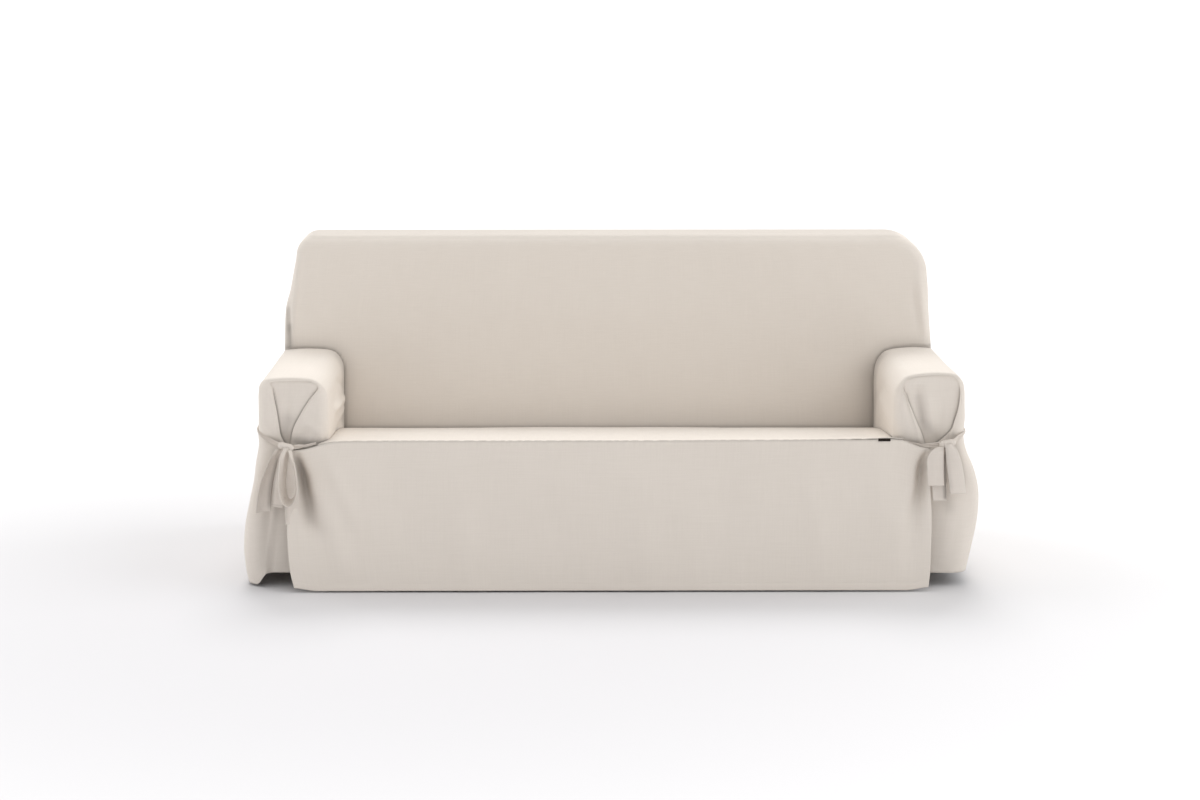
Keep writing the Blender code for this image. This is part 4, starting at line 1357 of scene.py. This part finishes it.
def ribbon_place(name, rows):
    length = row_lengths(rows)

    def place(u, v):
        across, depth, height, width, turn, tilt = curve_point(rows, u)
        angle = math.radians(turn)
        off = (v - 0.5) * width * math.cos(math.radians(tilt))
        height += (v - 0.5) * width * math.sin(math.radians(tilt))
        bow = HOLLOW[name] * math.sin(math.pi * v) * smooth_step(0.0, 0.35, u)
        pleat = TIE_PLEAT * math.sin(3 * math.pi * v) * smooth_step(0.35, 0.0, u)
        to_end = (1 - u) * length
        hem = HEM_STEP * smooth_step(TIE_HEM + 0.001, TIE_HEM - 0.001, to_end)
        push = bow + pleat - hem
        return across + off * math.cos(angle) - push * math.sin(angle), \
            depth + off * math.sin(angle) + push * math.cos(angle), height
    return place


TAIL_SHADES = {
    # shade all over, beside one long edge, which edge, and from which share on
    "tie_left_outer_tail": (0.03, 0.60, 1.0, 0.10),
    "tie_left_middle_tail": (0.00, 0.35, 0.0, 0.00),
    "tie_left_long_tail": (0.05, 0.25, 0.0, 0.00),
    "tie_right_back_tail": (0.00, 0.85, 1.0, 0.00),
    "tie_right_outer_tail": (0.04, 0.20, 0.0, 0.00),
}
STITCH_SHADE, STITCH_SHARE = 0.25, 0.055


def tail_shade(name):
    """A tail is darker towards the edge that another one covers or that folds under."""
    overall, beside, edge, start = TAIL_SHADES.get(name, (0.0, 0.0, 0.0, 0.0))
    strength = STITCH_SHADE if name in TAIL_SHADES else 0.0

    def shade(u, v, *spot):
        near = smooth_step(0.35, 0.05, abs(v - edge)) * smooth_step(start, start + 0.2, u)
        near *= smooth_step(1.0, 0.88, u)
        stitches = strength * smooth_step(0.004, 0.0, abs(1 - u - STITCH_SHARE))
        return min(1.0, overall + beside * near + stitches)
    return shade


ribbons = {}
for name, rows in RIBBONS.items():
    length = row_lengths(rows)
    ribbon = lay_panel(
        f"{name}_cloth", even_stops(length, TIE_STEP), even_stops(TIE_WIDTH, 0.0032),
        ribbon_place(name, rows), (), (0.03, 0.0010, 9.0), TIE_COTTON, RIBBON_CLOTH, 0.0,
        shade=tail_shade(name))
    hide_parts(name)
    ribbons[name] = ribbon, length

# %% [markdown]
# ## Gathered bands
# From the seams to the knots the ties are drawn tight, so the strip closes up
# into a few narrow pleats, like a twisted rope of cloth.

# %% Gathered bands
BANDS = {
    "tie_left_outer_band": (
        # across, depth, height
        (-0.9783, 0.1200, 0.4440),
        (-0.9793, 0.0700, 0.4430),
        (-0.9797, 0.0380, 0.4390),
        (-0.9754, 0.0220, 0.4335),
        (-0.9638, 0.0102, 0.4255),
        (-0.9475, 0.0040, 0.4180),
        (-0.9330, -0.0040, 0.4110),
        (-0.9140, -0.0180, 0.4050),
    ),
    "tie_left_inner_band": (
        (-0.8130, -0.0105, 0.4085),
        (-0.8360, -0.0120, 0.4030),
        (-0.8580, -0.0152, 0.4005),
        (-0.8745, -0.0227, 0.4005),
    ),
    "tie_right_outer_band": (
        (0.9848, 0.1200, 0.4380),
        (0.9857, 0.0700, 0.4370),
        (0.9859, 0.0380, 0.4340),
        (0.9820, 0.0218, 0.4300),
        (0.9720, 0.0085, 0.4250),
        (0.9590, -0.0050, 0.4190),
        (0.9467, -0.0233, 0.4140),
    ),
    "tie_right_inner_band": (
        (0.8130, -0.0115, 0.4120),
        (0.8450, -0.0136, 0.4050),
        (0.8720, -0.0172, 0.4010),
        (0.9086, -0.0244, 0.4060),
    ),
}
BAND_WIDTH, BAND_CUT, BAND_CLOTH = 0.012, 0.028, 0.0011
BAND_PLEATS, PLEAT_DEPTH, BAND_TWIST = 3, 0.0017, math.radians(12)


def gathered_place(rows):
    def place(u, v):
        across, depth, height = curve_point(rows, u)
        ahead = Vector(curve_point(rows, min(1.0, u + 0.02)))
        ahead -= Vector(curve_point(rows, max(0.0, u - 0.02)))
        ahead.normalize()
        up = Vector((0, 0, 1)) - ahead * ahead.z
        up.normalize()
        out = ahead.cross(up)
        twist = BAND_TWIST * math.sin(2 * math.pi * u)
        side_way = up * math.cos(twist) + out * math.sin(twist)
        face_way = out * math.cos(twist) - up * math.sin(twist)
        drawn = 0.55 + 0.45 * smooth_step(0.45, 0.75, u)
        pleat = drawn * PLEAT_DEPTH * math.sin(2 * math.pi * BAND_PLEATS * v + 4 * u)
        aside = side_way * (v - 0.5) * drawn * BAND_WIDTH
        return Vector((across, depth, height)) + aside + face_way * pleat
    return place


bands = {}
for name, rows in BANDS.items():
    length = row_lengths(rows)
    band = lay_panel(
        f"{name}_cloth", even_stops(length, TIE_STEP), even_stops(BAND_CUT, 0.0013),
        gathered_place(rows), (), None, TIE_COTTON, BAND_CLOTH, 0.0)
    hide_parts(name)
    bands[name] = band, length

# %% [markdown]
# ## Knots
# A tied knot is a lump with the strip wound round its middle. The turns show
# as a few pleats across it, so the lump is a rounded form that is drawn in at
# its waist, with narrow grooves pressed round it.

# %% Knots
KNOTS = {
    # name: across, depth, height, length, width, rise, tilt in degrees
    "tie_left_knot": (-0.8950, -0.0275, 0.4025, 0.044, 0.030, 0.024, 14),
    "tie_right_knot": (0.9290, -0.0340, 0.4100, 0.046, 0.032, 0.025, -10),
}
KNOT_SQUARE, KNOT_TURNS = 0.82, 3.5
WAIST, GROOVE, DENT = 0.18, 0.07, 0.05


def knot_form(point, length, width, rise):
    """Moves a point of a ball of size 1 to its place on the lump."""
    x, y, z = (math.copysign(abs(part * 2) ** KNOT_SQUARE / 2, part) for part in point)
    turns = math.sin(2 * math.pi * KNOT_TURNS * x + 1.2 * math.sin(math.atan2(z, y)))
    waist = 1 - WAIST * math.cos(math.pi * x)
    groove = 1 - GROOVE * max(0.0, turns) ** 3
    dent = 1 + DENT * noise.noise(Vector((x * 4, y * 4, z * 4)))
    return x * length * dent, y * width * waist * groove * dent, z * rise * waist * groove * dent


def tie_knot(name, across, depth, height, length, width, rise, tilt):
    lump = bmesh.new()
    bmesh.ops.create_uvsphere(lump, u_segments=64, v_segments=40, radius=0.5)
    angle = math.radians(tilt)
    layer = lump.loops.layers.uv.new(CLOTH_MAP)
    for face in lump.faces:
        face.smooth = True
        for loop in face.loops:
            spot = loop.vert.co
            loop[layer].uv = (spot.x * length, math.atan2(spot.z, spot.y) * width / 2)
    for vert in lump.verts:
        x, y, z = knot_form(vert.co, length, width, rise)
        turned_x = x * math.cos(angle) + z * math.sin(angle)
        turned_z = z * math.cos(angle) - x * math.sin(angle)
        vert.co = Vector((across + turned_x, depth + y, height + turned_z)) - ORIGIN
    bmesh.ops.recalc_face_normals(lump, faces=lump.faces)
    piece = new_piece(f"{name}_cloth", lump, TIE_COTTON)
    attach(piece, "root")
    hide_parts(name)
    return piece


knots = {name: tie_knot(name, *sizes) for name, sizes in KNOTS.items()}
print("knots", sorted(knots))

# %% [markdown]
# ## Label
# A small plain tag of dark woven tape is caught in the seam at the right. It
# carries no text. A flat strip with folded ends is enough for it.

# %% Label
LABEL_MIDDLE = Vector((0.7560, -0.0222, 0.4185))
LABEL_WIDTH, LABEL_HEIGHT = 0.034, 0.0082


def make_tape(name, colour):
    """Woven ribs, a little darker between them."""
    material, tree, shader = new_finish(name, Roughness=0.8, Specular_IOR_Level=0.2)
    uv = node(tree, "ShaderNodeUVMap", -900, 0, uv_map=CLOTH_MAP)
    ribs = thread_bands(tree, uv.outputs["UV"], -700, 0, "X")
    darker = tuple(part * 0.7 for part in colour)
    ribbed = colour_ramp(tree, ribs, -450, 200, (0.0, darker), (1.0, colour))
    link(tree, ribbed, shader.inputs["Base Color"])
    add_relief(tree, ribs, shader, 0.5, 0.0003)
    return material


TAPE = make_tape("dark_woven_tape", (0.022, 0.014, 0.011))


def label_place(u, v):
    across = (u - 0.5) * LABEL_WIDTH
    height = (v - 0.5) * LABEL_HEIGHT
    fold = 0.0006 * smooth_step(0.85, 1.0, abs(2 * u - 1))
    depth = fold - 0.0004 * math.cos(math.pi * (v - 0.5))
    return LABEL_MIDDLE + Vector((across, depth, height))


label = lay_panel(
    "label_tape", even_stops(LABEL_WIDTH, 0.001), even_stops(LABEL_HEIGHT, 0.001), label_place,
    (), None, TAPE, 0.0008)
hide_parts("label")

# %% [markdown]
# ## What cloth each piece was cut from
# Each sheet states the flat size that it was cut to, how it is held and what
# it rests on.

# %% Flat sizes
SHEETS = (
    # piece, flat width, flat length, how it is held, what it rests on, area where known
    (inside_back, 1.93, 0.57, "stretched", ["back_band_cloth"], 1.06),
    (back_band, 0.19, 3.60, "stretched", ["inside_back_cloth"], None),
    (rear_panel, 1.98, 0.90, "hung", ["back_band_cloth"], None),
    (seat, 1.58, 0.57, "stretched", ["inside_back_cloth"], None),
    (apron, 1.80, 0.44, "hung", ["seat_cloth"], None),
)
for piece, width, length, held, others, area in SHEETS:
    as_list(others)
for side, word in SIDES.items():
    cover = bpy.data.objects[f"arm_cloth_{word}"]
    front = bpy.data.objects[f"arm_front_cloth_{word}"]
for name, (ribbon, length) in ribbons.items():
    word = "left" if "left" in name else "right"
for name, (band, length) in bands.items():
    word = "left" if "left" in name else "right"

# %% [markdown]
# ## Floor and light
# The cover stands in a bright studio with hardly a shadow. The floor carries
# a painted shade: it is light grey near the cover and fades to white further
# out. An even white surround gives the soft fill. One wide lamp from behind
# and above makes the tops of the arms and the seat the brightest parts. One
# at the right, and one at the left a little from behind, lift the flanks, so
# that surfaces that face the viewer are a little darker.

# %% Floor, surround and soft boxes
FLOOR_NEAR_SHADE, FLOOR_FAR, FLOOR_GAP = (0.715, 0.706, 0.718), (0.95, 0.95, 0.95), 0.001
FADE_SHIFT, FADE_SCALE, FADE_START = (0.150, 0.280, 0), (0.25, 0.25, 0), 0.15
SURROUND = 0.76
SOFT_BOXES = (
    # name, turn, rise, width in degrees, strength
    ("rear_soft_box", 180, 50, 30, 1.15),
    ("right_soft_box", 85, 35, 50, 0.72),
    ("left_soft_box", -115, 32, 50, 0.60),
)


def make_floor():
    sheet = bmesh.new()
    bmesh.ops.create_grid(sheet, x_segments=1, y_segments=1, size=200)
    bmesh.ops.translate(sheet, verts=sheet.verts, vec=(0, 0, -ORIGIN.z - FLOOR_GAP))
    paint, tree, shader = new_finish("pale_floor", Roughness=0.9)
    place = node(tree, "ShaderNodeTexCoord", -1300, 0)
    spread = node(tree, "ShaderNodeMapping", -1100, 0, vector_type="POINT")
    set_inputs(spread, Location=FADE_SHIFT, Scale=FADE_SCALE)
    link(tree, place.outputs["Object"], spread.inputs["Vector"])
    away = node(tree, "ShaderNodeVectorMath", -900, 0, operation="LENGTH")
    link(tree, spread.outputs["Vector"], away.inputs[0])
    # Painted shade: the floor is darker near the cover and fades to its pale colour further out.
    near, far = (FADE_START, FLOOR_NEAR_SHADE), (1.0, FLOOR_FAR)
    faded = colour_ramp(tree, away.outputs["Value"], -650, 0, near, far, "EASE")
    link(tree, faded, shader.inputs["Base Color"])
    floor = new_piece("studio_floor", sheet, paint)


def soft_sun(name, turn, rise, angle, strength):
    """A wide lamp far away: turn to the right of the viewer, rise over the floor."""
    lamp = bpy.data.lights.new(name, "SUN")
    lamp.energy, lamp.angle = strength, math.radians(angle)
    holder = bpy.data.objects.new(name, lamp)
    bpy.context.collection.objects.link(holder)
    turn, rise = math.radians(turn), math.radians(rise)
    level = math.cos(rise)
    towards = Vector((math.sin(turn) * level, -math.cos(turn) * level, math.sin(rise)))
    holder.rotation_euler = (-towards).to_track_quat("-Z", "Y").to_euler()


make_floor()
surround = bpy.data.worlds.new("white_surround")
bpy.context.scene.world = surround
surround.use_nodes = True
set_inputs(surround.node_tree.nodes["Background"], Color=(1.0, 1.0, 1.0, 1), Strength=SURROUND)
for soft_box in SOFT_BOXES:
    soft_sun(*soft_box)
bpy.context.scene.view_settings.view_transform = "Standard"
